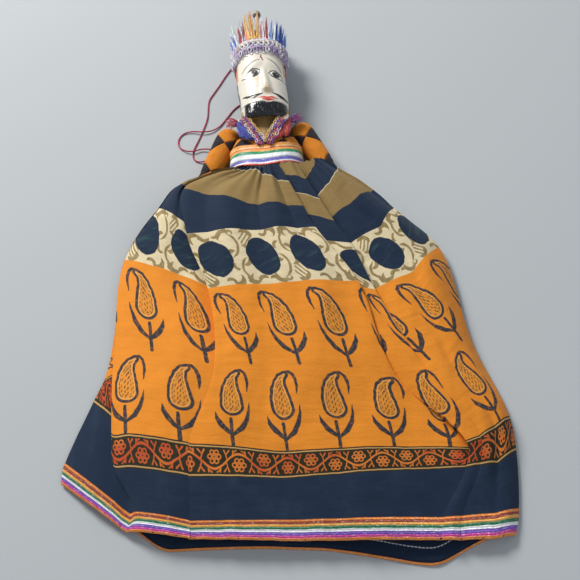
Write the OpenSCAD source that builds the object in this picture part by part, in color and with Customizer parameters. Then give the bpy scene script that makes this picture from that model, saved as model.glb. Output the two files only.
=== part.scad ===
// Rajasthani kathputli: a string puppet with a carved wooden head and bust, stuffed cloth arms and a long
// gathered skirt, lying on its back. +Z is up, the head points to +Y, and the origin is under the centre.

/* [Head] */
// Width of the carved head across the cheeks
head_w = 52; // [48:1:54]
// Depth of the carved head, from the back of the skull to the cheeks
head_d = 48; // [44:1:48]
// How far the carved nose stands proud of the face
nose_proud = 4; // [3:0.5:5]

/* [Crown] */
// Width of the flared crown fringe at its spikes
crown_w = 66; // [62:1:70]
// Number of spikes round the crown fringe
crown_spikes = 20; // [14:1:24]
// Diameter of the bead on the top knot
bead_d = 9; // [7:0.5:11]

/* [Torso] */
// Widest width of the blouse, across the chest
chest_w = 70; // [66:1:70]
// Depth of the blouse at the chest
chest_d = 37; // [33:1:37]
// Thickness of the blouse cloth with its lining
blouse_t = 1.2; // [0.8:0.1:1.4]
// Width of the woven sash ribbon
sash_w = 26; // [20:1:27]

/* [Arms] */
// Length of the upper arm, shoulder to elbow
upper_arm_l = 54; // [48:1:56]
// Length of the forearm, elbow to fingertips
forearm_l = 50; // [44:1:52]
// Width of the stuffed sleeve at the shoulder
sleeve_w = 25; // [22:1:25]
// Thickness of the stuffed arm as it lies
arm_h = 20; // [16:1:20]
// Angle of the arms away from the body as they lie
arm_spread = 25; // [24:1:30]

/* [Skirt] */
// Thickness of the gathered and lined upper skirt
yoke_t = 3; // [2:0.5:3]
// Thickness of the hanging skirt cloth
skirt_t = 1.6; // [1.2:0.1:1.8]
// Height of the soft folds that run down the skirt
fold_h = 2.4; // [0:0.2:3]
// Number of soft folds across the front
folds = 5; // [3:1:7]
// Width of the striped ribbon round the hem
hem_ribbon_w = 17; // [14:1:18]

/* [Strings] */
// Diameter of the working strings
string_d = 1.4; // [1.2:0.1:1.5]

/* [Hidden] */
$fn = 48;
gap = 0.25;                 // clearance between pieces that lie on each other
floor_gap = 0.2;            // clearance between a panel and the one it rests on
tip_y = 305;                // top of the crown's bead

head_z = head_d / 2;        // height of the head's own axis
neck_z = 21;                // height of the axis of neck and torso
chest_y = 108;              // widest place of the blouse
neck_top_y = 139;           // where the blouse ends on the neck
waist_y = 82;               // where the skirt is gathered
torso_end_y = 62;           // lower end of the stuffed torso
bust_end_y = 104;           // lower end of the wooden bust
band_y = [214, 241];        // padded crown band
fringe_y = [237, 264, 281]; // crown fringe: foot, valleys and tips
ring_n = 32;                // points round a lofted ring

shoulder = [38, 134];       // shoulder axis, mirrored for the other side
shoulder_r = sleeve_w / 2 + 0.5;
elbow_r = sleeve_w / 2 - 2.5;
wrist_r = sleeve_w / 2 - 3.5;
elbow_clear = elbow_r + 1;  // the upper arm stops this far before the elbow axis
arm_z = 5;                  // underside of the arms
cloth_t = 1;                // sleeve cloth

hinge_y = 18;               // line across the skirt where it folds
hinge_z = 30;               // height of that line
back_slope = 0.3;           // how fast the moving skirt's front edge leans away below that line
panel_t = 1.2;              // thickness of the back panels on the ground
hem_droop = 46;             // how far the front hem's middle lies below its corners
back_hem_y = -299.5;        // middle of the back panel's hem

// Corners of the moving skirt's sides, from the fold line to the hem: [x, y]
side_left = [[-128, 17], [-140, -55], [-152, -130], [-190, -204]];
side_right = [[140, 17], [166, -70], [182, -160], [190, -258]];
// Corners of the gathered upper skirt's sides, from the waist to the fold line
yoke_left = [[-31, 82], [-58, 92], [-90, 76], [-112, 50], [-130, 18.5]];
yoke_right = [[31, 82], [60, 90], [92, 76], [120, 48], [140, 18.5]];

// Routes of the two working strings, by hand: [x, y, z]
head_string_route = [
  [-14, 252, 0.8], [-27, 251, 0.8], [-37, 238, 0.8], [-46, 222, 0.8], [-52, 212, 0.8], [-58, 200, 0.8],
  [-60, 178, 0.8], [-65, 161, 0.8], [-70, 148, 0.8], [-75, 136, 0.8], [-76, 127, 0.8], [-73, 121, 1],
  [-67, 119, 1.6], [-60, 120, 2.6], [-52, 123, 3.8]];
hand_string_route = [
  [-12, 197, 0.8], [-22, 194, 0.8], [-31, 187, 0.8], [-39, 176, 0.8], [-47, 165, 1], [-56, 159, 1.8],
  [-66, 158, 2.5], [-77, 160, 1.6], [-86, 158, 0.8], [-91, 150, 0.8], [-90, 141, 1], [-84, 135, 1.9],
  [-76, 133, 2.5], [-68, 135, 2.1], [-60, 134, 2.9], [-53, 131, 3.8]];

// ---- meshing helpers ----

// Two triangles for each cell between row i and row i + 1; wrap joins the last column to the first
function strip(i, j, n, cols, flip) =
  let(a = i * n, b = j * n)
  [for (k = [0:cols - 1]) let(m = (k + 1) % n, q = [a + k, a + m, b + m, b + k])
    each flip ? [[q[0], q[2], q[1]], [q[0], q[3], q[2]]] : [[q[0], q[1], q[2]], [q[0], q[2], q[3]]]];

// Solid through closed rings, with flat ends
module loft(rings) {
  n = len(rings[0]);
  m = len(rings);
  sides = [for (i = [0:m - 2]) each strip(i, i + 1, n, n, true)];
  ends = [[for (k = [n - 1:-1:0]) n - 1 - k], [for (k = [n - 1:-1:0]) (m - 1) * n + k]];
  polyhedron(points = [for (r = rings) each r], faces = concat(sides, ends), convexity = 6);
}

// Tube wall through closed rings: outside rings one way, inside rings back, closed on itself
module tube_wall(outer, inner) {
  n = len(outer[0]);
  m = len(outer);
  rows = concat(outer, [for (i = [m - 1:-1:0]) inner[i]]);
  faces = [for (i = [0:2 * m - 1]) each strip(i, (i + 1) % (2 * m), n, n, true)];
  polyhedron(points = [for (r = rows) each r], faces = faces, convexity = 6);
}

// Sheet between an upper and a lower grid of points, closed round its four edges
module sheet(upper, lower) {
  n = len(upper[0]);
  m = len(upper);
  rows = [for (i = [0:m - 1]) concat(upper[i], [for (k = [n - 1:-1:0]) lower[i][k]])];
  w = 2 * n;
  body = [for (i = [0:m - 2]) each strip(i, i + 1, w, w, true)];
  first = [for (k = [0:n - 2]) each [[k, k + 1, w - 2 - k], [k, w - 2 - k, w - 1 - k]]];
  last = [for (k = [0:n - 2]) let(b = (m - 1) * w)
    each [[b + k, b + w - 2 - k, b + k + 1], [b + k, b + w - 1 - k, b + w - 2 - k]]];
  polyhedron(points = [for (r = rows) each r], faces = concat(body, first, last), convexity = 8);
}

// ---- rings and curves ----

// A ring row is [y, x centre, z centre, half width, half height, squareness, tilt]
function bulge(v, e) = sign(v) * pow(abs(v), e);
function ring_point(r, a, grow) =
  let(z = (r[4] + grow) * bulge(sin(a), r[5]))
  [r[1] + (r[3] + grow) * bulge(cos(a), r[5]), r[0] + r[6] * z, r[2] + z];
function ring(r, grow = 0) = [for (k = [0:ring_n - 1]) ring_point(r, -360 * k / ring_n, grow)];
function part_ring(r, a0, a1, n, grow = 0) =
  [for (k = [0:n]) ring_point(r, a0 + (a1 - a0) * k / n, grow)];

// Point at u = 0 to 1 along a list of corners
function along(list, u) =
  let(f = u * (len(list) - 1), i = min(floor(f), len(list) - 2))
  list[i] + (f - i) * (list[i + 1] - list[i]);

// Smooth curve through a route, with extra points between its own
function spline_point(p, i, u) =
  let(last = len(p) - 1, a = p[max(i - 1, 0)], b = p[i], c = p[min(i + 1, last)], d = p[min(i + 2, last)])
  0.5 * (2 * b + u * (c - a) + u * u * (2 * a - 5 * b + 4 * c - d) + u * u * u * (3 * b - a - 3 * c + d));
function spline(p, steps) =
  concat([for (i = [0:len(p) - 2]) for (s = [0:steps - 1]) spline_point(p, i, s / steps)],
         [p[len(p) - 1]]);

// Rings of an oval section round a path, its width level and its thickness upright
function sweep_rings(path, half_w, half_t, n) =
  let(last = len(path) - 1)
  [for (i = [0:last])
    let(t = path[min(i + 1, last)] - path[max(i - 1, 0)], side = [t[1], -t[0], 0] / norm([t[0], t[1]]),
        up = cross(side, t) / norm(cross(side, t)), w = is_list(half_w) ? along(half_w, i / last) : half_w)
    [for (k = [0:n - 1]) let(a = -360 * k / n) path[i] + w * cos(a) * side + half_t * sin(a) * up]];

// ---- head and crown ----

// Rings of the carved head and bust, from the bust's lower end to the skull
head_rings = [
  [bust_end_y, 0, neck_z, 22, 12, 0.8, 0],
  [112, 0, neck_z, 24, 13, 0.85, 0],
  [126, 0, neck_z, 22, 13, 0.9, 0],
  [134, 0, neck_z, 18, 13, 1, 0],
  [144, 0, neck_z + 1, 16.5, 13, 1, 0],
  [151, 0, head_z, head_w / 2 - 6, head_z - 4, 0.9, -0.5],
  [158, 0, head_z, head_w / 2 - 2.5, head_z - 1.5, 0.85, -0.25],
  [174, 0, head_z, head_w / 2 - 0.5, head_z - 0.3, 0.85, 0],
  [200, 0, head_z, head_w / 2, head_z, 0.88, 0],
  [band_y[0], 0, head_z, head_w / 2, head_z, 0.9, 0],
  [232, 0, head_z, head_w / 2 - 1, head_z - 1, 0.95, 0],
  [240, 0, head_z, head_w / 2 - 4, head_z - 4, 1, 0]];

module head_block() {
  color("wheat")
  union() {
    loft([for (r = head_rings) ring(r)]);
    nose();
  }
}

// Straight carved nose, from the brow to above the lip
module nose() {
  face_z = head_d - 3;
  loft([for (s = [[166, 5, nose_proud + 3], [170, 4.6, nose_proud + 2.6], [194, 1.8, 3.2]])
    [for (p = [[-1, -1], [-0.45, 1], [0.45, 1], [1, -1]]) [p[0] * s[1], s[0], face_z + p[1] * s[2]]]]);
}

band_outer = [
  [band_y[0], 0, head_z, head_w / 2 + 1.6, head_z - 0.1, 0.9, 0],
  [band_y[0] + 5, 0, head_z, head_w / 2 + 2.4, head_z, 0.9, 0],
  [band_y[1] - 7, 0, head_z, head_w / 2 + 2.4, head_z, 0.92, 0],
  [band_y[1], 0, head_z, head_w / 2 + 1.4, head_z - 0.6, 0.92, 0]];

module crown_band() {
  color("dimgray")
  difference() {
    loft([for (r = band_outer) ring(r, 0)]);
    loft([for (r = head_rings) ring(r, gap)]);
  }
}

module crown_cap() {
  color("maroon")
  loft([for (s = [[band_y[1] + gap, 3], [252, 4], [262, 9], [268, 17]])
    ring([s[0], 0, head_z, head_w / 2 - s[1], head_z - s[1], 1, 0])]);
}

// Thin flaring wall whose outer edge is cut into spikes
module crown_fringe() {
  cols = 2 * crown_spikes;
  foot = head_w / 2 - 1.5;
  tip = crown_w / 2;
  color("mediumslateblue")
  tube_wall(fringe_rings(cols, foot, tip, 0), fringe_rings(cols, foot, tip, -1));
}
function fringe_rings(cols, foot, tip, grow) =
  [for (row = [0:2])
    [for (k = [0:cols - 1])
      let(a = -360 * k / cols, flare = row / 2, y = row < 2 ? [band_y[1] + gap, 252][row] : fringe_y[1 + k % 2],
          rx = foot + (tip - foot) * flare + grow, rz = foot + flare * (head_z - 0.2 - foot) + grow)
      [rx * cos(a), y, head_z + min(rz, head_z - 0.2 + grow) * sin(a)]]];

// Row of looped braid over the brow, lying on the crown band
module crown_braid(y0, shade) {
  rows = [y0, y0 + 2, y0 + 6, y0 + 8];
  lift = [1.2, 2.6, 2.6, 1.2];
  color(shade)
  difference() {
    sheet([for (i = [0:3]) part_ring([rows[i], 0, head_z, head_w / 2 + 2.4, head_z, 0.91, 0], 172, 8, 24, lift[i])],
          [for (i = [0:3]) part_ring([rows[i], 0, head_z, head_w / 2 + 2.4, head_z, 0.91, 0], 172, 8, 24, -2)]);
    loft([for (r = band_outer) ring(r, gap)]);
    loft([for (r = head_rings) ring(r, gap)]);
  }
}

module crown_knot() {
  stem_r = 2.5;
  knot_y = 268 + gap;
  bead_y = tip_y - bead_d / 2;
  color("firebrick")
  union() {
    translate([0, knot_y, head_z]) rotate([-90, 0, 0]) cylinder(h = bead_y - knot_y, r = stem_r);
    translate([0, bead_y, head_z]) sphere(d = bead_d);
  }
}

// ---- torso ----

// Outside of the blouse, from the waist to the neck
blouse_rings = [
  [waist_y + 1, 0, neck_z, chest_w / 2 - 4, chest_d / 2, 0.9, 0],
  [96, 0, neck_z, chest_w / 2 - 1, chest_d / 2, 0.9, 0],
  [chest_y, 0, neck_z, chest_w / 2 - 0.5, chest_d / 2, 0.9, 0],
  [118, 0, neck_z, chest_w / 2 - 4, chest_d / 2 - 0.3, 0.95, 0],
  [126, 0, neck_z, chest_w / 2 - 9, chest_d / 2 - 0.8, 1, 0],
  [134, 0, neck_z, chest_w / 2 - 11.5, chest_d / 2 - 1.6, 1, 0],
  [neck_top_y, 0, neck_z, chest_w / 2 - 13, chest_d / 2 - 2.2, 1, 0]];

module torso_stuffing() {
  inset = blouse_t + gap;
  top = bust_end_y - gap;
  color("linen")
  loft([for (s = [[torso_end_y, 5], [68, 1], [76, 0.5], [waist_y, 0.5], [96, 0.5], [top, 0.5]])
    ring([s[0], 0, neck_z, chest_w / 2 - 4 - inset - s[1], chest_d / 2 - inset - s[1], 0.9, 0])]);
}

// Half of the blouse wall between two angles round the torso
module blouse_half(a0, a1) {
  sheet([for (r = blouse_rings) part_ring(r, a0, a1, 18)],
        [for (r = blouse_rings) part_ring(r, a0, a1, 18, -blouse_t)]);
}
module blouse_front() {
  color("darkorange")
  blouse_half(179.4, 0.6);
}
module blouse_back() {
  color("black")
  blouse_half(359.4, 180.6);
}

module sash_ribbon() {
  rows = [for (y = [waist_y + 2, waist_y + 2 + sash_w / 3, waist_y + 2 + 2 * sash_w / 3, waist_y + 2 + sash_w])
    [y, 0, neck_z, chest_w / 2 - 0.2, chest_d / 2 + gap, 0.9, 0]];
  color("mediumseagreen")
  tube_wall([for (r = rows) ring(r, 1.2)], [for (r = rows) ring(r, 0)]);
}

module waist_cord() {
  rows = [for (y = [74, 76, 78]) [y, 0, neck_z, chest_w / 2 - 5.2, chest_d / 2 - 1.5, 0.9, 0]];
  lift = [0.8, 1.6, 0.8];
  color("white")
  tube_wall([for (i = [0:2]) ring(rows[i], lift[i])], [for (i = [0:2]) ring(rows[i], 0)]);
}

// One leg of the V of braid on the chest, clear of the blouse and sash under it
module collar_braid(side) {
  top = [side * 19, 143, 38];
  foot = [side * 4.4, 111, 41.5];
  color("purple")
  difference() {
    loft(sweep_rings([for (u = [0:0.125:1]) foot + u * (top - foot) + [0, 0, 1.6 * sin(180 * u)]], 3.4, 2.2, 12));
    dressed_torso();
  }
}

// What the chest trims lie on, grown by the clearance
module dressed_torso() {
  loft([for (r = blouse_rings) ring(r, gap)]);
  loft([for (y = [waist_y + 2 - gap, waist_y + 2 + sash_w + gap])
    ring([y, 0, neck_z, chest_w / 2 - 0.2, chest_d / 2 + gap, 0.9, 0], 1.2 + gap)]);
  loft([for (r = head_rings) ring(r, gap)]);
}

// Tinsel tassel that hangs beside the collar
module tassel(side, shade) {
  top = [side * 25, 141, 33];
  foot = [side * 15, 114, 43.5];
  color(shade)
  difference() {
    loft(sweep_rings([for (u = [0:0.25:1]) top + u * (foot - top)], [1.5, 3, 4, 4.6, 5], 2.2, 12));
    dressed_torso();
    collar_clear(side);
    shoulder_clear(side);
  }
}

// Room for the collar braid beside a tassel
module collar_clear(side) {
  top = [side * 19, 143, 38];
  foot = [side * 4.4, 111, 41.5];
  loft(sweep_rings([for (u = [-0.1:0.15:1.1]) foot + u * (top - foot) + [0, 0, 1.6 * sin(180 * max(0, min(1, u)))]],
                   3.4 + gap, 2.2 + gap, 12));
}

// Room for the turning shoulder
module shoulder_clear(side) {
  translate([side * shoulder[0], shoulder[1], arm_z - 1]) cylinder(h = arm_h + 2, r = shoulder_r + gap);
}

// Tuft of threads on top of the shoulder
module shoulder_tuft(side) {
  color("crimson")
  difference() {
    loft([for (s = [[134, 2], [138, 4.5], [143, 5.5], [147, 4], [149, 2]])
      ring([s[0], side * 31, arm_z + arm_h + 4, 1.6 * s[1], 0.6 * s[1], 1, 0])]);
    dressed_torso();
    tassel_clear(side);
    shoulder_clear(side);
  }
}
module tassel_clear(side) {
  top = [side * 25, 141, 33];
  foot = [side * 15, 114, 43.5];
  loft(sweep_rings([for (u = [-0.2:0.2:1]) top + u * (foot - top)], [3.2, 3.4, 4, 5, 5.6], 2.2 + gap, 12));
}

// ---- arms ----

// Upper arm, hinge at the origin and elbow towards -Y
module upper_arm(shrink) {
  end_y = -upper_arm_l + elbow_clear + shrink;
  h = arm_h - 2 * shrink;
  translate([0, 0, shrink])
  union() {
    cylinder(h = h, r = shoulder_r - shrink);
    linear_extrude(h)
    polygon([[-sleeve_w / 2 + shrink, 0], [sleeve_w / 2 - shrink, 0],
             [elbow_r + 1 - shrink, end_y], [-elbow_r - 1 + shrink, end_y]]);
  }
}

// Forearm, elbow at the origin and hand towards -Y
module forearm(shrink) {
  hand_y = -forearm_l + wrist_r;
  h = arm_h - 2 * shrink;
  translate([0, 0, shrink])
  union() {
    cylinder(h = h, r = elbow_r - shrink);
    translate([0, hand_y, 0]) cylinder(h = h, r = wrist_r - shrink);
    linear_extrude(h)
    polygon([[-elbow_r + 0.2 + shrink, 0], [elbow_r - 0.2 - shrink, 0],
             [wrist_r - 0.2 - shrink, hand_y], [-wrist_r + 0.2 + shrink, hand_y]]);
  }
}

// Places a piece of the upper arm or forearm on one side of the body
module at_shoulder(side) {
  translate([side * shoulder[0], shoulder[1], arm_z]) rotate([0, 0, side * arm_spread]) children();
}
module at_elbow(side) {
  at_shoulder(side) translate([0, -upper_arm_l, 0]) children();
}

module upper_sleeve(side) {
  color("darkorange")
  at_shoulder(side) difference() {
    upper_arm(0);
    upper_arm(cloth_t);
  }
}
module upper_stuffing(side) {
  color("linen")
  at_shoulder(side) upper_arm(cloth_t + 0.1);
}
module lower_sleeve(side) {
  color("orange")
  at_elbow(side) difference() {
    forearm(0);
    forearm(cloth_t);
  }
}
module lower_stuffing(side) {
  color("linen")
  at_elbow(side) forearm(cloth_t + 0.1);
}

// ---- skirt ----

// Gathered upper skirt: a canopy over waist and hands that comes down to the ground at the fold line
yoke_crest = [44, 43, 40, 36, hinge_z];
yoke_edge = [36, 31, 30, 30, panel_t + floor_gap + yoke_t];
function yoke_point(u, v) =
  let(a = along(yoke_left, v), b = along(yoke_right, v), t = 2 * u - 1, arch = 1 - pow(abs(t), 4),
      droop = 18 * sin(180 * v) * (1 - t * t * t * t))
  [a[0] + u * (b[0] - a[0]), a[1] + u * (b[1] - a[1]) - droop,
   along(yoke_edge, v) + arch * (along(yoke_crest, v) - along(yoke_edge, v))];

module skirt_yoke_front() {
  across = 28;
  down = 12;
  upper = [for (i = [0:down]) [for (k = [0:across]) yoke_point(k / across, i / down)]];
  lower = [for (row = upper) [for (p = row) p - [0, 0, yoke_t]]];
  color("darkslateblue")
  sheet(upper, lower);
}

module skirt_yoke_back() {
  color("midnightblue")
  linear_extrude(panel_t)
  polygon(concat(yoke_left, [for (i = [len(yoke_right) - 1:-1:0]) yoke_right[i]]));
}

// Moving skirt: its front is an arched sheet with soft folds, its back lies flat on the ground
function skirt_crest(v) = hinge_z - 1 - 16 * v + 4 * v * (1 - v);
function skirt_point(u, v) =
  let(a = along(side_left, v), b = along(side_right, v), t = 2 * u - 1, arch = 1 - pow(abs(t), 3),
      edge = panel_t + floor_gap + skirt_t, wave = fold_h * sin(180 * folds * u + 40) * arch * v,
      z = edge + arch * (skirt_crest(v) - edge - fold_h) + wave + fold_h * arch * v * 0.5)
  [a[0] + u * (b[0] - a[0]), a[1] + u * (b[1] - a[1]) - hem_droop * v * v * arch - (hinge_z - z) * back_slope * (1 - v), z];

module front_panel(v0, v1, down) {
  across = 44;
  upper = [for (i = [0:down]) [for (k = [0:across]) skirt_point(k / across, v0 + (v1 - v0) * i / down)]];
  lower = [for (i = [0:down]) [for (k = [0:across])
    let(p = upper[i][k], v = v0 + (v1 - v0) * i / down) p - [0, skirt_t * back_slope * (1 - v), skirt_t]]];
  sheet(upper, lower);
}

ribbon_v = hem_ribbon_w / 270; // share of the skirt's length that the ribbon takes
module skirt_front() {
  color("chocolate")
  front_panel(0, 1 - ribbon_v - 0.001, 26);
}
module hem_ribbon_front() {
  color("gold")
  front_panel(1 - ribbon_v, 1, 3);
}

// The back panel's hem, or a line parallel to it: it hangs lowest right of the middle
back_half_w = 166;
back_lean = 22;
function back_hem(inset) =
  [for (k = [0:24]) let(t = k / 12 - 1)
    [back_half_w * t, back_hem_y - back_lean * t + back_lean * t * t + inset]];
back_top = hinge_y - 3 - hinge_z * back_slope; // clear of the upper skirt when the skirt swings back
module skirt_back() {
  color("midnightblue")
  linear_extrude(panel_t)
  polygon(concat([[-126, back_top], [-150, -130], [-184, -200]], back_hem(hem_ribbon_w + gap),
                 [[178, -160], [164, -70], [138, back_top]]));
}
module hem_ribbon_back() {
  lower = back_hem(0);
  upper = back_hem(hem_ribbon_w);
  color("gold")
  linear_extrude(panel_t)
  polygon(concat(lower, [for (i = [24:-1:0]) upper[i]]));
}

// ---- strings ----

module string(route, steps) {
  color("maroon")
  loft(sweep_rings(spline(route, steps), string_d / 2, string_d / 2, 8));
}

head_block();
crown_band();
crown_cap();
crown_fringe();
crown_braid(band_y[0] + 1, "mediumorchid");  // crown_braid_lower
crown_braid(band_y[0] + 11, "silver");  // crown_braid_upper
crown_knot();
torso_stuffing();
blouse_front();
blouse_back();
collar_braid(-1);  // collar_braid_left
collar_braid(1);  // collar_braid_right
tassel(-1, "royalblue");  // tassel_blue
tassel(1, "red");  // tassel_red
shoulder_tuft(-1);  // shoulder_tuft_left
shoulder_tuft(1);  // shoulder_tuft_right
sash_ribbon();
waist_cord();
skirt_yoke_front();
skirt_yoke_back();
skirt_front();
skirt_back();
hem_ribbon_front();
hem_ribbon_back();
upper_sleeve(-1);  // left_upper_sleeve
upper_stuffing(-1);  // left_upper_stuffing
lower_sleeve(-1);  // left_lower_sleeve
lower_stuffing(-1);  // left_lower_stuffing
upper_sleeve(1);  // right_upper_sleeve
upper_stuffing(1);  // right_upper_stuffing
lower_sleeve(1);  // right_lower_sleeve
lower_stuffing(1);  // right_lower_stuffing
string(head_string_route, 3);  // head_string
string(hand_string_route, 2);  // hand_string
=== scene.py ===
"""Rajasthani kathputli puppet: the looks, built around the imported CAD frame.

Lengths in the tables are millimetres of the CAD frame and are turned into metres by MM.
"""
import math
import random
from functools import reduce

import bpy
import numpy as np
from mathutils import Matrix, Vector, noise


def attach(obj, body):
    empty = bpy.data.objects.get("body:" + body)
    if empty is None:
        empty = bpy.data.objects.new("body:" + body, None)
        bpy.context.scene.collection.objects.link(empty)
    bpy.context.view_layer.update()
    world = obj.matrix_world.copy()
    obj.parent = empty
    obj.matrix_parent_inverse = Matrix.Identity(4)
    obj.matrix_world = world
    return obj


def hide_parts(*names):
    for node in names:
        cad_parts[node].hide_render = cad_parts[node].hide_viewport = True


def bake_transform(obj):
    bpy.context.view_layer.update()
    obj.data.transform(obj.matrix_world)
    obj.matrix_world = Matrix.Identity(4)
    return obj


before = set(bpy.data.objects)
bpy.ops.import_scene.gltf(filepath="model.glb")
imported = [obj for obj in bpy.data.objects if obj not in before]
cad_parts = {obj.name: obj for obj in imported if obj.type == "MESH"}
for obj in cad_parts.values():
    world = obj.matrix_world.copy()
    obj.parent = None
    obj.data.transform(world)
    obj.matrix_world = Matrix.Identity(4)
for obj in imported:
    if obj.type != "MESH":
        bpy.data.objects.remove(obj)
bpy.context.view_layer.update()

MM = 0.001
COAT_SOCKETS = {"coat": "Coat Weight", "coat_rough": "Coat Roughness", "sheen": "Sheen Weight",
                "specular": "Specular IOR Level"}


# ---------------------------------------------------------------- camera, floor and light

CAMERA_AIM = Vector((0.013, -0.040, 0.0))
CAMERA_DISTANCE = 0.84
CAMERA_ELEVATION = math.radians(60)
CAMERA_ROLL = math.radians(-4.5)
CAMERA_LENS = 55.4
FLOOR_HALF = 6.0


def make_camera():
    """Looks down at the lying puppet from beyond its hem, tipped a little to one side."""
    back = Vector((0, -math.cos(CAMERA_ELEVATION), math.sin(CAMERA_ELEVATION)))
    right = Vector((1, 0, 0))
    up = back.cross(right)
    turned_right = right * math.cos(CAMERA_ROLL) + up * math.sin(CAMERA_ROLL)
    turned_up = back.cross(turned_right)
    data = bpy.data.cameras.new("camera")
    data.lens = CAMERA_LENS
    data.sensor_width = 36
    data.clip_start = 0.01
    camera = bpy.data.objects.new("camera", data)
    bpy.context.scene.collection.objects.link(camera)
    turn = Matrix((turned_right, turned_up, back)).transposed().to_4x4()
    camera.matrix_world = Matrix.Translation(CAMERA_AIM + back * CAMERA_DISTANCE) @ turn
    bpy.context.scene.camera = camera


def add_light(name, place, aim, size, power, tint):
    data = bpy.data.lights.new(name, "AREA")
    data.shape = "DISK"
    data.size = size
    data.energy = power
    data.color = tint
    light = bpy.data.objects.new(name, data)
    bpy.context.scene.collection.objects.link(light)
    light.location = place
    light.rotation_euler = (Vector(aim) - Vector(place)).to_track_quat("-Z", "Y").to_euler()


def make_studio():
    world = bpy.data.worlds.new("studio")
    bpy.context.scene.world = world
    world.use_nodes = True
    sky = world.node_tree.nodes["Background"]
    sky.inputs["Color"].default_value = (0.86, 0.9, 0.96, 1)
    sky.inputs["Strength"].default_value = 0.34
    add_light("window", (-1.15, 1.6, 1.45), (0, -0.05, 0), 0.9, 62, (1.0, 0.97, 0.92))
    add_light("fill", (1.1, -0.9, 1.2), (0, -0.1, 0), 1.6, 4, (0.92, 0.96, 1.0))
    mesh = bpy.data.meshes.new("floor")
    corners = [(x * FLOOR_HALF, y * FLOOR_HALF, 0) for x, y in ((-1, -1), (1, -1), (1, 1), (-1, 1))]
    mesh.from_pydata(corners, [], [(0, 1, 2, 3)])
    floor = bpy.data.objects.new("floor", mesh)
    bpy.context.scene.collection.objects.link(floor)
    floor.data.materials.append(pale_floor())


# ---------------------------------------------------------------- shader arithmetic

def math_method(kind):
    """A method for Value that adds one Math node of this kind."""
    def method(self, *others):
        return self.with_node(kind, *others)
    return method


class Value:
    """A number in a material's node tree; arithmetic on it adds Math nodes."""

    def __init__(self, paint, source):
        self.paint = paint
        self.source = source

    def with_node(self, kind, *others):
        node = self.paint.tree.nodes.new("ShaderNodeMath")
        node.operation = kind
        for slot, item in zip(node.inputs, (self,) + others):
            if isinstance(item, Value):
                self.paint.tree.links.new(item.source, slot)
            else:
                slot.default_value = item
        return Value(self.paint, node.outputs[0])

    __add__ = __radd__ = math_method("ADD")
    __sub__ = math_method("SUBTRACT")
    __mul__ = __rmul__ = math_method("MULTIPLY")
    __truediv__ = math_method("DIVIDE")
    abs = math_method("ABSOLUTE")
    arctan2 = math_method("ARCTAN2")
    cos = math_method("COSINE")
    floor = math_method("FLOOR")
    greater = math_method("GREATER_THAN")
    least = math_method("MINIMUM")
    mod = math_method("FLOORED_MODULO")
    most = math_method("MAXIMUM")
    power = math_method("POWER")
    sign = math_method("SIGN")
    sin = math_method("SINE")
    sqrt = math_method("SQRT")

    def __rsub__(self, other):
        return self * -1.0 + other

    def ramp(self, low, high):
        """0 below low, 1 above high, smooth between; low may be the greater."""
        node = self.paint.tree.nodes.new("ShaderNodeMapRange")
        node.interpolation_type = "SMOOTHSTEP"
        self.paint.tree.links.new(self.source, node.inputs["Value"])
        flip = low > high
        node.inputs["From Min"].default_value = min(low, high)
        node.inputs["From Max"].default_value = max(low, high)
        node.inputs["To Min"].default_value = 1.0 if flip else 0.0
        node.inputs["To Max"].default_value = 0.0 if flip else 1.0
        return Value(self.paint, node.outputs["Result"])

    def inside(self, soft):
        """For a distance outside a shape: 1 in the shape, 0 out of it, with an edge this soft."""
        return self.ramp(soft, -soft)


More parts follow.
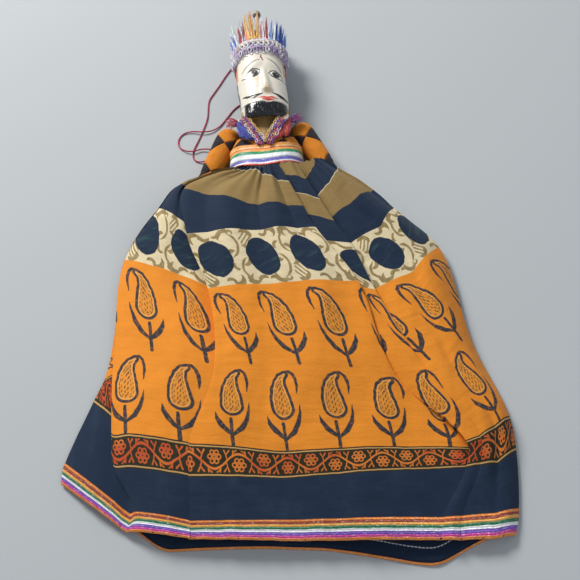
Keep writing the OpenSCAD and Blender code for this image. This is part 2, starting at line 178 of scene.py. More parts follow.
class Paint:
    """One procedural material: coordinates in millimetres, colour layers, roughness and bump."""

    def __init__(self, name, rough=0.8, metal=0.0, **extras):
        self.material = bpy.data.materials.new(name)
        self.material.use_nodes = True
        self.tree = self.material.node_tree
        self.shader = self.tree.nodes["Principled BSDF"]
        self.shader.inputs["Roughness"].default_value = rough
        self.shader.inputs["Metallic"].default_value = metal
        for word, amount in extras.items():
            self.shader.inputs[COAT_SOCKETS[word]].default_value = amount
        self.colour = None
        where = self.tree.nodes.new("ShaderNodeAttribute")
        where.attribute_name = "place"
        self.place = where.outputs["Vector"]
        parts = self.tree.nodes.new("ShaderNodeSeparateXYZ")
        self.tree.links.new(self.place, parts.inputs[0])
        self.x, self.y, self.z = (Value(self, parts.outputs[i]) for i in range(3))

    def point(self, x, y, z=0.0):
        """A vector made of numbers, to look a texture up at."""
        node = self.tree.nodes.new("ShaderNodeCombineXYZ")
        for slot, item in zip(node.inputs, (x, y, z)):
            if isinstance(item, Value):
                self.tree.links.new(item.source, slot)
            else:
                slot.default_value = item
        return node.outputs[0]

    def noise(self, size, detail=2.0, at=None, stretch=(1, 1, 1)):
        """Noise from 0 to 1 whose features are about size millimetres."""
        scale = self.tree.nodes.new("ShaderNodeMapping")
        scale.inputs["Scale"].default_value = tuple(s / size for s in stretch)
        self.tree.links.new(at or self.place, scale.inputs["Vector"])
        node = self.tree.nodes.new("ShaderNodeTexNoise")
        node.inputs["Scale"].default_value = 1.0
        node.inputs["Detail"].default_value = detail
        self.tree.links.new(scale.outputs[0], node.inputs["Vector"])
        return Value(self, node.outputs["Fac"])

    def coat_of(self, colour, mask=None):
        """Lays a colour (three numbers or a socket) over what is there, where mask is 1."""
        if self.colour is None or mask is None:
            self.colour = colour
            return
        node = self.tree.nodes.new("ShaderNodeMix")
        node.data_type = "RGBA"
        for slot, item in ((node.inputs[6], self.colour), (node.inputs[7], colour)):
            if isinstance(item, tuple):
                slot.default_value = item + (1.0,)
            else:
                self.tree.links.new(item, slot)
        self.tree.links.new(mask.source, node.inputs[0])
        self.colour = node.outputs[2]

    def shade(self, amount):
        """Multiplies the colour's brightness by a number that varies over the surface."""
        node = self.tree.nodes.new("ShaderNodeVectorMath")
        node.operation = "SCALE"
        if isinstance(self.colour, tuple):
            node.inputs[0].default_value = self.colour
        else:
            self.tree.links.new(self.colour, node.inputs[0])
        self.tree.links.new(amount.source, node.inputs["Scale"])
        self.colour = node.outputs[0]

    def finish(self, height=None, depth=0.2, rough=None):
        """Connects colour, bump (depth in millimetres) and roughness, and returns the material."""
        base = self.shader.inputs["Base Color"]
        if isinstance(self.colour, tuple):
            base.default_value = self.colour + (1.0,)
        else:
            self.tree.links.new(self.colour, base)
        if rough is not None:
            self.tree.links.new(rough.source, self.shader.inputs["Roughness"])
        if height is not None:
            bump = self.tree.nodes.new("ShaderNodeBump")
            bump.inputs["Distance"].default_value = depth * MM
            self.tree.links.new(height.source, bump.inputs["Height"])
            self.tree.links.new(bump.outputs[0], self.shader.inputs["Normal"])
        return self.material


def stroke(x, y, a, b, ra, rb):
    """Distance outside a tapered stroke from a to b with half widths ra and rb."""
    bx, by = b[0] - a[0], b[1] - a[1]
    px, py = x - a[0], y - a[1]
    along = ((px * bx + py * by) / (bx * bx + by * by)).least(1.0).most(0.0)
    dx, dy = px - along * bx, py - along * by
    return (dx * dx + dy * dy).sqrt() - (along * (rb - ra) + ra)


def strokes(x, y, path):
    """Distance outside a chain of tapered strokes through (x, y, half width) points."""
    return reduce(Value.least, (stroke(x, y, a[:2], b[:2], a[2], b[2]) for a, b in zip(path, path[1:])))


def all_strokes(x, y, paths):
    """Distance outside several chains of strokes."""
    return reduce(Value.least, (strokes(x, y, path) for path in paths))


def disc(x, y, centre_x, centre_y, radius):
    """Distance outside a circle."""
    dx, dy = x - centre_x, y - centre_y
    return (dx * dx + dy * dy).sqrt() - radius


def weave(p, thread=0.45):
    """Height of a plain weave, with threads about that many millimetres apart."""
    k = math.pi / thread
    return (p.x * k).sin() * (p.y * k).sin() * 0.5 + 0.5


def pale_floor():
    p = Paint("pale_floor", rough=0.9)
    p.coat_of((0.5, 0.535, 0.56))
    p.shade(p.noise(1.5) * 0.12 + p.noise(4.0) * 0.05 + 0.92)
    return p.finish()


# ---------------------------------------------------------------- mesh helpers

def add_mesh(name, verts, faces, materials, place=None, indices=None, smooth=True, subdivide=0):
    """Makes a piece from arrays in millimetres; place holds the material's coordinates."""
    mesh = bpy.data.meshes.new(name)
    verts = np.asarray(verts, float)
    mesh.from_pydata([tuple(v) for v in (verts * MM).tolist()], [], [tuple(f) for f in faces])
    for material in materials:
        mesh.materials.append(material)
    if indices is not None:
        mesh.polygons.foreach_set("material_index", indices)
    mesh.polygons.foreach_set("use_smooth", [smooth] * len(mesh.polygons))
    layer = mesh.attributes.new("place", "FLOAT_VECTOR", "POINT")
    where = verts if place is None else np.asarray(place, float)
    layer.data.foreach_set("vector", where.ravel())
    mesh.update()
    piece = bpy.data.objects.new(name, mesh)
    bpy.context.scene.collection.objects.link(piece)
    if subdivide:
        soften(piece)
    return piece


def soften(piece):
    """Subdivides a piece once, to round it."""
    modifier = piece.modifiers.new("smooth", "SUBSURF")
    modifier.levels = 1
    modifier.render_levels = 1


def thicken(piece, thick, side):
    """Gives a surface this thickness in millimetres; side 1 is above its faces, -1 below."""
    modifier = piece.modifiers.new("cloth", "SOLIDIFY")
    modifier.thickness = thick * MM
    modifier.offset = side


def fit(piece, slot, body, *nodes):
    """Hangs a piece on the body it rides and hides the CAD nodes it stands for; slot, what the piece is made
    of, is not used.
    """
    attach(piece, body)
    if nodes:
        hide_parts(*nodes)


def grid_faces(rows, cols, wrap=False):
    """Quads between the points of a rows by cols grid; wrap joins the last column to the first."""
    last = cols if wrap else cols - 1
    return [(i * cols + k, i * cols + (k + 1) % cols, (i + 1) * cols + (k + 1) % cols, (i + 1) * cols + k)
            for i in range(rows - 1) for k in range(last)]


def closing_faces(rows, cols):
    """Quads from the last row of a wrapped grid back to its first."""
    last = (rows - 1) * cols
    return [(last + k, last + (k + 1) % cols, (k + 1) % cols, k) for k in range(cols)]


def places(along, across, shape):
    """The material's coordinates over a grid: along, across and 0."""
    return np.stack([np.broadcast_to(along, shape), np.broadcast_to(across, shape), np.zeros(shape)], axis=-1)


def pushed_out(grid, axis_z, amount):
    """Grid points moved away from the axis along Y at this height, by an amount for each."""
    out = grid * (1, 0, 1) - (0, 0, axis_z)
    return grid + out / np.linalg.norm(out, axis=-1)[..., None] * amount[..., None]


def bent(start, end, bend, count):
    """Points from start to end that bow out by bend in the middle."""
    return [start + (end - start) * s + bend * math.sin(math.pi * s) for s in np.linspace(0, 1, count)]


def curve_through(keys, values, at):
    """Smooth curve through values given at keys, with the slopes of its neighbours."""
    keys, values, at = np.asarray(keys, float), np.asarray(values, float), np.asarray(at, float)
    step = np.diff(keys)
    secant = np.diff(values, axis=0) / step.reshape((-1,) + (1,) * (values.ndim - 1))
    slope = np.concatenate([secant[:1], (secant[:-1] + secant[1:]) / 2, secant[-1:]])
    i = np.clip(np.searchsorted(keys, at, side="right") - 1, 0, len(keys) - 2)
    shape = (-1,) + (1,) * (values.ndim - 1)
    h = step[i].reshape(shape)
    u = ((at - keys[i]) / step[i]).reshape(shape)
    return ((2 * u**3 - 3 * u**2 + 1) * values[i] + (u**3 - 2 * u**2 + u) * h * slope[i]
            + (-2 * u**3 + 3 * u**2) * values[i + 1] + (u**3 - u**2) * h * slope[i + 1])


def smoothstep(low, high, v):
    u = np.clip((v - low) / (high - low), 0, 1)
    return u * u * (3 - 2 * u)


def ripple(points, size, seed):
    """Smooth noise between -1 and 1 at each point, with features about size millimetres."""
    shift = Vector((seed * 17.3, seed * 5.1, seed * 9.7))
    return np.array([noise.noise(Vector(p) / size + shift) for p in points])


# ---------------------------------------------------------------- strings

STRING_D = 1.4
HEAD_STRING = [
    (-14, 252, 0.8), (-27, 251, 0.8), (-37, 238, 0.8), (-46, 222, 0.8), (-52, 212, 0.8), (-58, 200, 0.8),
    (-60, 178, 0.8), (-65, 161, 0.8), (-70, 148, 0.8), (-75, 136, 0.8), (-76, 127, 0.8), (-73, 121, 1),
    (-67, 119, 1.6), (-60, 120, 2.6), (-52, 123, 3.8)]
HAND_STRING = [
    (-12, 197, 0.8), (-22, 194, 0.8), (-31, 187, 0.8), (-39, 176, 0.8), (-47, 165, 1), (-56, 159, 1.8),
    (-66, 158, 2.5), (-77, 160, 1.6), (-86, 158, 0.8), (-91, 150, 0.8), (-90, 141, 1), (-84, 135, 1.9),
    (-76, 133, 2.5), (-68, 135, 2.1), (-60, 134, 2.9), (-53, 131, 3.8)]


def spline(route, steps):
    """The route's own points with smooth extra points between them, as the CAD tube has."""
    p = [np.array(q, float) for q in route]
    last = len(p) - 1
    out = []
    for i in range(last):
        a, b, c, d = p[max(i - 1, 0)], p[i], p[min(i + 1, last)], p[min(i + 2, last)]
        for s in range(steps):
            u = s / steps
            out.append(0.5 * (2 * b + u * (c - a) + u * u * (2 * a - 5 * b + 4 * c - d)
                              + u**3 * (3 * b - a - 3 * c + d)))
    return np.array(out + [p[last]])


def distances(path):
    """How far along a path each of its points is."""
    return np.concatenate([[0], np.cumsum(np.linalg.norm(np.diff(path, axis=0), axis=1))])


def tube(path, radius, sides):
    """Points and faces of a closed round tube along a path; radius may vary along it."""
    path = np.asarray(path, float)
    n = len(path)
    radii = np.broadcast_to(np.asarray(radius, float), (n,))
    tangent = np.gradient(path, axis=0)
    tangent /= np.linalg.norm(tangent, axis=1)[:, None]
    up = np.array([0.0, 0.0, 1.0]) if abs(tangent[0][2]) < 0.9 else np.array([1.0, 0.0, 0.0])
    rings = []
    for i in range(n):
        side = np.cross(up, tangent[i])
        side /= np.linalg.norm(side)
        up = np.cross(tangent[i], side)
        a = 2 * math.pi * np.arange(sides) / sides
        rings.append(path[i] + radii[i] * (np.cos(a)[:, None] * side + np.sin(a)[:, None] * up))
    faces = grid_faces(n, sides, wrap=True)
    faces += [tuple(range(sides - 1, -1, -1)), tuple((n - 1) * sides + k for k in range(sides))]
    return np.concatenate(rings), faces


def string_material():
    """Two-ply cotton, maroon with crimson on the crowns of the plies; the darker grooves are painted shade.
    Place is (distance along, angle, 0).
    """
    p = Paint("string_cotton", rough=0.85, sheen=0.3)
    twist = (p.x * 3.2 + p.y * 2.0).sin() * 0.5 + 0.5
    p.coat_of((0.3, 0.012, 0.05))
    # crimson only on the crowns of the plies: the maroon left in the grooves is painted shade, following the
    # bump
    p.coat_of((0.6, 0.05, 0.14), twist)
    p.shade(p.noise(6.0) * 0.5 + 0.75)
    return p.finish(twist, 0.25)


def make_string(name, route, steps, material):
    path = spline(route, steps)
    sides = 10
    verts, faces = tube(path, STRING_D / 2, sides)
    along = distances(path)
    place = [(d, 2 * math.pi * k / sides, 0) for d in along for k in range(sides)]
    piece = add_mesh(name + "_thread", verts, faces, [material], place)
    fit(piece, "string_cotton", "bust", name)


bpy.context.scene.view_settings.view_transform = "Standard"
make_camera()
make_studio()
thread = string_material()
make_string("head_string", HEAD_STRING, 6, thread)
make_string("hand_string", HAND_STRING, 6, thread)


# ---------------------------------------------------------------- printed cloth

# Edges of the print's bands as shares of the skirt's length, the mesh rows in each band, and the same
# edges in millimetres down the cloth.
BAND_KEYS = (0.0, 0.134, 0.23, 0.366, 0.56, 0.751, 0.842, 0.953, 1.0)
BAND_ROWS = (26, 14, 20, 28, 26, 10, 14, 6)
GOLD_END, NAVY_END, CREAM_END, ORANGE_END, BORDER_END, PLAIN_END, HEM = 45, 75, 131, 284, 308, 343, 360
COLUMN = 44.0
# Down the print: the foot of the first row's bodies, how much lower the second row's is, and where it begins.
FIRST_FOOT, ROW_DROP, SECOND_ROW = 180.4, 76.5, 211
PRINT_DOWN = (0, GOLD_END, NAVY_END, CREAM_END, SECOND_ROW, ORANGE_END, BORDER_END, PLAIN_END, HEM)
PAISLEY_SCALE = 0.95
# A paisley in strokes through (across, up, half width), measured from the foot of its body.
BODY = (
    (-0.3, 9.6, 9.6), (0, 17.5, 9.1), (-0.2, 25, 7.5), (-1.4, 32, 5.5), (-4.2, 38, 3.6), (-8.5, 41.4, 2.2))
HOOK = (
    (-8.5, 43.6, 1.2), (-12.6, 44, 1.4), (-15.6, 41.4, 1.5), (-16.9, 36.5, 1.5), (-16.8, 30, 1.2),
    (-15.6, 23, 0.4))
LEFT_LEAF = ((-15.8, 12.5, 0.3), (-14.8, 4.5, 1.2), (-12, -4.5, 2.0), (-7, -12.5, 2.3), (1, -19, 1.2))
RIGHT_LEAF = ((15, 2, 0.3), (13.8, -4.5, 2.0), (10, -10.5, 2.5), (5.5, -15, 2.1), (1.5, -18.5, 1.2))
STEM = ((1.6, -4.2, 1.5), (1.6, -28.6, 1.6))
SPINE = ((0, 6, 1.0), (-0.2, 18, 1.3), (-1.6, 29, 0.5))
# Khaki scrolls between two ovals: centre, radius, middle angle and half span in degrees, half width.
SCROLLS = (
    (-12, -11, 13, 0, 68, 1.2), (12, 12, 12, 180, 68, 1.2), (-9, 22, 5.5, 60, 88, 1.9),
    (9, 20, 6, 120, 85, 2.0), (-16, 27, 4.6, -70, 85, 1.6), (18, 25, 4.6, -110, 85, 1.7),
    (4.5, 24, 2.4, 90, 150, 1.0),
    (-4, -23.5, 2.4, -90, 150, 1.0), (4, 4, 4.6, 40, 80, 1.8), (-5, -1, 4.8, 215, 80, 1.9),
    (5, -7, 4.2, -20, 85, 1.7), (-4, 9, 3.8, 150, 85, 1.5), (9, -21, 5.5, -60, 88, 1.9),
    (-9, -20, 6, -120, 85, 2.0), (-17, -26, 4.6, 60, 85, 1.6), (-12, 24, 9, 20, 60, 1.5),
    (14, 24, 9, 170, 60, 1.5))
# Twigs of the border, in the free corner beside each crossing of the vine.
TWIGS = (((0.3, 0.8, 0.4), (-0.7, 4.6, 0.4), (-1.9, 7.6, 0.55)), ((-0.5, 4.2, 0.3), (1.9, 7.6, 0.6)),
         ((4.6, 3.6, 0.4), (5.2, 7.8, 0.6)), ((4.9, 6.0, 0.3), (7.6, 8.2, 0.55)))
NAVY_INK = (0.011, 0.026, 0.058)
KHAKI = (0.3, 0.2, 0.075)
CREAM = (0.8, 0.68, 0.44)
ORANGE = (0.86, 0.29, 0.025)
CHARCOAL = (0.035, 0.04, 0.05)


def cloth_finish(p, fade=0.2):
    """Crepe: uneven dye, a fine weave and the soft sheen of thin polyester."""
    p.shade(p.noise(35.0) * fade + p.noise(2.2) * 0.16 + (0.92 - fade / 2))
    crinkle = weave(p) * 0.5 + p.noise(1.4, 3.0) * 1.2 + p.noise(8.0, stretch=(0.2, 1, 1)) * 5.0
    return p.finish(crinkle, 0.16)


def cloth(name):
    return Paint(name, rough=0.82, sheen=0.06, specular=0.22)


def wobble(p, amount=1.3):
    """Block-print unevenness: the place, pushed about by a millimetre."""
    return p.x + (p.noise(7.0) - 0.5) * amount, p.y + (p.noise(8.0, stretch=(1, 1, 3)) - 0.5) * amount


def stripe_cloth():
    """Khaki and navy bands at the waist, with a thin pale line at the top of each khaki one."""
    p = cloth("stripe_print")
    _, y = wobble(p, 1.6)
    p.coat_of(NAVY_INK)
    p.coat_of(KHAKI, (y - GOLD_END).inside(0.3) * (y - 9).ramp(-0.3, 0.3))
    p.coat_of(KHAKI, (y + 21).inside(0.3))
    p.coat_of(CREAM, ((y - 8.6).abs() - 0.55).inside(0.25) * 0.8)
    return cloth_finish(p)


def arc(u, w, centre_u, centre_w, radius, middle, half_span, half_width):
    """Distance outside a crescent: an arc of a circle, thickest at its middle angle."""
    du, dw = u - centre_u, w - centre_w
    r = (du * du + dw * dw).sqrt()
    turn = math.radians(middle)
    facing = (du * math.cos(turn) + dw * math.sin(turn)) / r
    limit = math.cos(math.radians(half_span))
    width = (facing - limit) * (half_width * 1.5 / (1 - limit))
    return (r - radius).abs() - width.least(half_width)


def cream_cloth():
    """Cream band: a navy oval in each column, with khaki scrolls and a comb of leaves between."""
    p = cloth("cream_print")
    x, y = wobble(p, 1.6)
    w = 103.0 - y
    u = (x + COLUMN / 2).mod(COLUMN) - COLUMN / 2
    gap = x.mod(COLUMN) - COLUMN / 2
    flip = (x / COLUMN).floor().mod(2.0) * 2.0 - 1.0
    turned = w * flip
    p.coat_of(CREAM)
    p.shade(p.noise(9.0) * 0.3 + 0.85)
    leaf = reduce(Value.least, (arc(gap, turned, *line) for line in SCROLLS))
    comb = ((gap * 1.5 + turned * 1.1).sin() * 0.9 + 0.2).most(
        ((gap - 9.5) * (gap - 9.5) * 0.5 + (turned + 18.0) * (turned + 18.0) * 0.3).sqrt() - 4.4)
    p.coat_of((0.27, 0.19, 0.07), leaf.least(comb).ramp(0.35, -0.3) * (p.noise(5.0) * 0.5 + 0.65))
    lobe = (p.noise(17.0) - 0.5) * 5.0
    oval = (u * u * 1.1 + w * w * 0.66 + u * w * 0.12).sqrt() - 15.6 + lobe
    p.coat_of(NAVY_INK, oval.inside(0.4))
    streak = p.noise(5.0, 3.0, at=p.point(p.x * 0.55 + p.y, p.y * 0.35)).ramp(0.5, 0.75)
    p.coat_of((0.03, 0.085, 0.085), oval.ramp(-1.5, -3.0) * streak * 0.9)
    return cloth_finish(p)


def orange_cloth():
    """Orange ground with two rows of paisleys on stems, the second row turned the other way."""
    p = cloth("orange_print")
    x, y = wobble(p)
    row = p.y.greater(SECOND_ROW)
    u = (x + COLUMN / 2 - row * (COLUMN / 2)).mod(COLUMN) - COLUMN / 2
    u = u * (1.0 - row * 2.0) / PAISLEY_SCALE
    w = (row * ROW_DROP + FIRST_FOOT - y) / PAISLEY_SCALE
    body = strokes(u, w, BODY)
    lines = (body.abs() - 1.3).least(strokes(u, w, HOOK)).least(strokes(u, w, STEM))
    lines = lines.least(strokes(u, w, LEFT_LEAF)).least(strokes(u, w, RIGHT_LEAF))
    inner = strokes(u, w, SPINE)
    p.coat_of(ORANGE)
    p.shade(p.noise(60.0) * 0.3 + 0.85)
    p.coat_of((0.8, 0.3, 0.035), body.ramp(-1.0, -1.8))
    beads = ((w * 1.5).sin() * 0.5 + (u * 1.5).sin() * 0.5 + 0.15).ramp(-0.1, 0.3)
    p.coat_of((0.13, 0.07, 0.035), ((body + 3.3).abs() - 0.5).inside(0.3) * beads * 0.85)
    p.coat_of((0.85, 0.45, 0.12), ((body + 2.1).abs() - 0.45).ramp(0.3, -0.2) * 0.7)
    dashes = (w * 1.3 + u * 1.6).sin().ramp(-0.3, 0.2)
    p.coat_of((0.1, 0.055, 0.035), ((body + 5.2).abs() - 0.55).inside(0.3) * dashes * 0.7)
    p.coat_of((0.1, 0.055, 0.035), ((inner.abs() - 0.6).inside(0.3) * dashes) * 0.85)
    worn = p.noise(3.0, 3.0).ramp(0.3, 0.55) * 0.2 + 0.8
    p.coat_of(CHARCOAL, lines.inside(0.3) * worn)
    return cloth_finish(p)


def flower(u, w):
    """Distance outside the lines of a round flower: six looped petals about a ring."""
    r = (u * u + w * w).sqrt()
    sector = math.pi / 3
    angle = u.arctan2(w).mod(sector) - sector / 2
    pu = r * angle.cos() - 3.6
    pw = r * angle.sin()
    petals = ((pu * pu + pw * pw).sqrt() - 1.55).abs() - 0.5
    return petals.least((r - 1.1).abs() - 0.5)


def border_cloth():
    """Dark border: a waving vine, a flower in each bend, twigs, and a line along each edge."""
    p = cloth("border_print")
    x, y = wobble(p, 0.9)
    half = 19.5
    k = math.pi / half
    down = y - (ORANGE_END + BORDER_END) / 2
    vine = (down - (x * k).sin() * 5.6).abs() - 0.95
    side = (x / half).floor().mod(2.0) * 2.0 - 1.0
    bloom = flower(x.mod(half) - half / 2, down - side * 2.7)
    near = (x + half / 2).mod(half) - half / 2
    bend = ((x + half / 2) / half).floor().mod(2.0) * -2.0 + 1.0
    above = down.sign()
    twig = all_strokes(near * bend * above, down * above, TWIGS)
    p.coat_of((0.03, 0.026, 0.013))
    red = p.noise(45.0).ramp(0.42, 0.6)
    art = vine.least(bloom).least(twig.most(down.abs() - 9.4))
    p.coat_of((0.75, 0.22, 0.035), art.inside(0.3))
    p.coat_of((0.55, 0.06, 0.025), art.inside(0.3) * red * 0.85)
    edge = down.abs() - 11.2
    p.coat_of((0.03, 0.025, 0.015), (edge + 1.6).ramp(-0.2, 0.2))
    p.coat_of((0.62, 0.36, 0.13), ((edge + 0.9).abs() - 0.55).inside(0.2))
    return cloth_finish(p)


def plain_cloth():
    """The plain navy band above the hem."""
    p = cloth("navy_cloth")
    p.coat_of(NAVY_INK)
    p.coat_of((0.022, 0.045, 0.085), p.noise(18.0, 3.0).ramp(0.45, 0.75) * 0.5)
    return cloth_finish(p)


# ---------------------------------------------------------------- skirt front

# Lines down the front of the skirt from waist to hem, one point at each band's edge. Where the cloth is
# tucked, the line on the upper layer and the one under it lie over each other.
FRONT_LINES = {
    "flap_edge": ((-23, 82, 36), (-87, 70, 27), (-107, 47, 26), (-142, 3, 10), (-151, -77, 4),
                  (-158.5, -119.5, 4), (-168, -141, 3.2), (-190.5, -197, 2.5), (-192, -212, 2.5)),
    "flap_inner": ((-23, 82, 36), (-87, 70, 27), (-107, 47, 26), (-142, 3, 10), (-149, -80, 4),
                   (-143, -113, 3), (-139, -170, 3.5), (-133, -246, 5), (-135, -258, 5)),
    "left_edge": ((-23, 82, 36), (-87, 70, 27), (-107, 47, 26), (-141, 1, 12), (-149, -93, 8),
                  (-150, -172, 8), (-147, -203, 8), (-127, -245, 9), (-132, -258, 8)),
    "left_under": ((-22, 82, 36), (-74, 60, 28), (-69, 11, 27), (-55, -47, 22), (-56, -127, 26),
                   (-80, -191, 20), (-81, -220, 17), (-82, -257, 13), (-82, -269, 12)),
    "middle_left": ((-23, 79, 38.5), (-81, 59, 36), (-79, 7, 38), (-61, -51, 34), (-58, -128, 28),
                    (-82, -191, 20), (-83, -220, 17), (-84, -257, 13), (-84, -269, 12)),
    "middle": ((-8, 75, 42), (-20, 33, 43), (-19, 3, 42), (-12, -53, 37), (-9, -133, 32),
               (-6, -205, 22), (-3, -228, 18), (-2, -263, 14), (-3, -277, 13)),
    "middle_right": ((11, 76, 42.5), (32, 25, 40), (42, 1, 39), (75, -57, 36), (98, -145, 24),
                     (154, -211, 13), (149, -230, 14), (118, -270, 12), (116, -285, 11)),
    "gather_under": ((10, 80, 38), (19, 26, 33), (26, -6, 32), (58, -55, 28), (95, -142, 22),
                     (148, -208, 20), (145, -230, 15), (120, -270, 12), (118, -285, 11)),
    "gather": ((29, 78, 40), (60, 7, 37), (73, -18, 36), (90, -66, 32), (123, -142, 28),
               (161, -204, 20), (157, -229, 16), (136, -270, 11), (133, -286, 10)),
    "right_under": ((29, 81, 36), (48, 10, 31), (60, -21, 30), (77, -68, 27), (122, -141, 27),
                    (160, -204, 20), (157, -229, 16), (135, -270, 11), (133, -286, 10)),
    "right": ((42, 82, 38), (76, 28, 34), (102, 3, 32), (125, -47, 27), (145, -132, 22),
              (175, -195, 16), (172, -228, 13), (163, -270, 10), (160, -287, 9)),
    "right_edge": ((53, 88, 32), (101, 50, 27), (118, 27, 26), (157, -11, 10), (172, -109, 4),
                   (192, -183, 3), (192, -215, 3), (184, -266, 3), (178, -284, 3)),
}
# How far across the print each line lies, at the same places; and the print at the waist's edge.
PRINT_ACROSS = {
    "flap_edge": (-1, -1, -2, -22, -34, -95, -135, -140, -138),
    "flap_inner": (-1, -1, -2, -22, -34, -55, -62, -66, -64),
    "left_edge": (0, 0, 0, -21, -33, -37, -36, -15, -20),
    "left_under": (70, 70, 70, 69, 55, 30, 29, 29, 29),
    "middle_left": (69, 69, 69, 68, 53, 28, 27, 27, 27),
    "middle": (126, 126, 126, 123, 107, 101, 104, 105, 104),
    "middle_right": (202, 202, 202, 211, 216, 262, 257, 226, 224),
    "gather_under": (228, 228, 228, 228, 222, 248, 245, 228, 226),
    "gather": (267, 267, 267, 263, 256, 262, 258, 242, 240),
    "right_under": (270, 270, 270, 265, 256, 262, 258, 243, 241),
    "right": (321, 321, 321, 317, 284, 276, 273, 269, 267),
    "right_edge": (358, 358, 358, 365, 325, 303, 305, 292, 287),
}
WAIST_PRINT = (2, 2, 2, 4, 2, 6, -22, -44, -44, -46, -30, -8)
# Between two lines: points across, and how far the cloth puffs up between them at each band's edge.
FRONT_PANELS = (
    (12, (0, 0, 0, 0, 0, 3, 5, 5, 4)), (6, (0, 0, 0, 0, 0, -2, -2, -2, -1)),
    (34, (2, 8, 9, 8, 7, 6, 5, 4, 3)), (8, (0, 0, 0, 0, 0, 0, 0, 0, 0)),
    (26, (2, 4, 4, 3, 3, 3, 3, 2, 2)), (30, (2, 4, 4, 4, 5, 6, 5, 3, 2)),
    (8, (0, 0, 0, 0, 0, 0, 0, 0, 0)), (16, (1, 3, 3, 2, 2, 1, 1, 1, 1)),
    (6, (0, 0, 0, 0, 0, 0, 0, 0, 0)), (18, (1, 3, 3, 3, 2, 2, 2, 1, 1)),
    (22, (2, 4, 5, 7, 7, 5, 4, 3, 2)))


def between(t, start, end, a, b):
    """What lies at t on the straight line from a at start to b at end, row by row."""
    return ((end - t) / (end - start))[:, None] * a + ((t - start) / (end - start))[:, None] * b


def across_curve(points, steps):
    """Smooth curve through a row of points (points first), steps[i] samples after each point."""
    ghost_a = 2 * points[0] - points[1]
    ghost_b = 2 * points[-1] - points[-2]
    p = np.concatenate([ghost_a[None], points, ghost_b[None]])
    gap = np.sqrt(np.linalg.norm(np.diff(p, axis=0), axis=-1)) + 0.05
    out = []
    for i, count in enumerate(steps):
        t0 = np.zeros_like(gap[0])
        t1 = t0 + gap[i]
        t2 = t1 + gap[i + 1]
        t3 = t2 + gap[i + 2]
        for s in range(count):
            t = t1 + (t2 - t1) * (s / count)
            a1 = between(t, t0, t1, p[i], p[i + 1])
            a2 = between(t, t1, t2, p[i + 1], p[i + 2])
            a3 = between(t, t2, t3, p[i + 2], p[i + 3])
            b1 = between(t, t0, t2, a1, a2)
            b2 = between(t, t1, t3, a2, a3)
            out.append(between(t, t1, t2, b1, b2))
    out.append(points[-1])
    return np.stack(out, axis=1)


def band_rows(first, last):
    """Heights of the mesh rows from one band edge to another, with a row on each band edge."""
    rows = []
    for i in range(first, last):
        a, b = BAND_KEYS[i], BAND_KEYS[i + 1]
        rows += [a + (b - a) * s / BAND_ROWS[i] for s in range(BAND_ROWS[i])]
    return np.array(rows + [BAND_KEYS[last]])


def front_surface(rows):
    """Points and print coordinates of the skirt front at these heights: (rows, columns, 3 and 2)."""
    names = list(FRONT_LINES)
    lines = np.array([curve_through(BAND_KEYS, FRONT_LINES[n], rows) for n in names])
    across = np.array([curve_through(BAND_KEYS, PRINT_ACROSS[n], rows) for n in names])
    keys, steps, shares = [lines[0]], [], [0.0]
    for i, (count, puff) in enumerate(FRONT_PANELS):
        lift = curve_through(BAND_KEYS, puff, rows)
        if max(puff) > 0:
            for share, height in ((0.22, 0.62), (0.5, 1.0), (0.78, 0.62)):
                middle = lines[i] * (1 - share) + lines[i + 1] * share
                middle[:, 2] += lift * height
                keys.append(middle)
                shares.append(i + share)
            steps += [max(count * 22 // 100, 1), max(count * 28 // 100, 1)] * 2
            steps[-1], steps[-2] = steps[-2], steps[-1]
        else:
            steps.append(count)
        keys.append(lines[i + 1])
        shares.append(i + 1.0)
    points = across_curve(np.array(keys), steps)
    where = []
    for i, count in enumerate(steps):
        where += [shares[i] + (shares[i + 1] - shares[i]) * s / count for s in range(count)]
    where = np.array(where + [shares[-1]])
    low = np.clip(where.astype(int), 0, len(names) - 2)
    part = (where - low)[None, :, None]
    m = np.swapaxes(across, 0, 1)
    m = m[:, low] * (1 - part[..., 0]) + m[:, low + 1] * part[..., 0]
    waist = np.array(WAIST_PRINT, float)
    waist = waist[low] * (1 - part[0, :, 0]) + waist[low + 1] * part[0, :, 0]
    down = curve_through(BAND_KEYS, PRINT_DOWN, rows)[:, None]
    down = down + waist[None, :] * np.clip(1 - rows / BAND_KEYS[1], 0, 1)[:, None]
    return points, np.stack([m, np.broadcast_to(down, m.shape)], axis=-1)


def crease(points, rows, seed):
    """Deep gathers below the waist and soft wrinkles all over; edges near the floor stay put."""
    n, c, _ = points.shape
    out = points.copy()
    col = np.arange(c) / (c - 1)
    near = (np.clip(1 - rows / 0.5, 0, 1) ** 1.6 * (0.25 + 0.75 * smoothstep(0, 0.07, rows)))[:, None]
    drift = 0.5 * rows[:, None]
    turn = (col * 8.5 + 0.35 * np.sin(col * 11))[None, :] + drift * np.sin(col * 5)[None, :]
    gathers = np.abs(np.sin(turn * math.pi)) ** 0.8 - 0.6
    small = np.clip(1 - rows / 0.22, 0, 1)[:, None] ** 1.5 * np.sin(col * 2 * math.pi * 29 + 1.0)[None, :]
    out[..., 2] += 8.0 * near * gathers + 0.9 * small
    flat = points.reshape(-1, 3)
    calm = smoothstep(3, 12, points[..., 2])
    soft = ripple(flat * (1, 0.32, 1), 24, seed) * 2.3 + ripple(flat * (1, 0.7, 1), 9, seed + 3) * 0.5
    out[..., 2] += soft.reshape(n, c) * calm
    return out


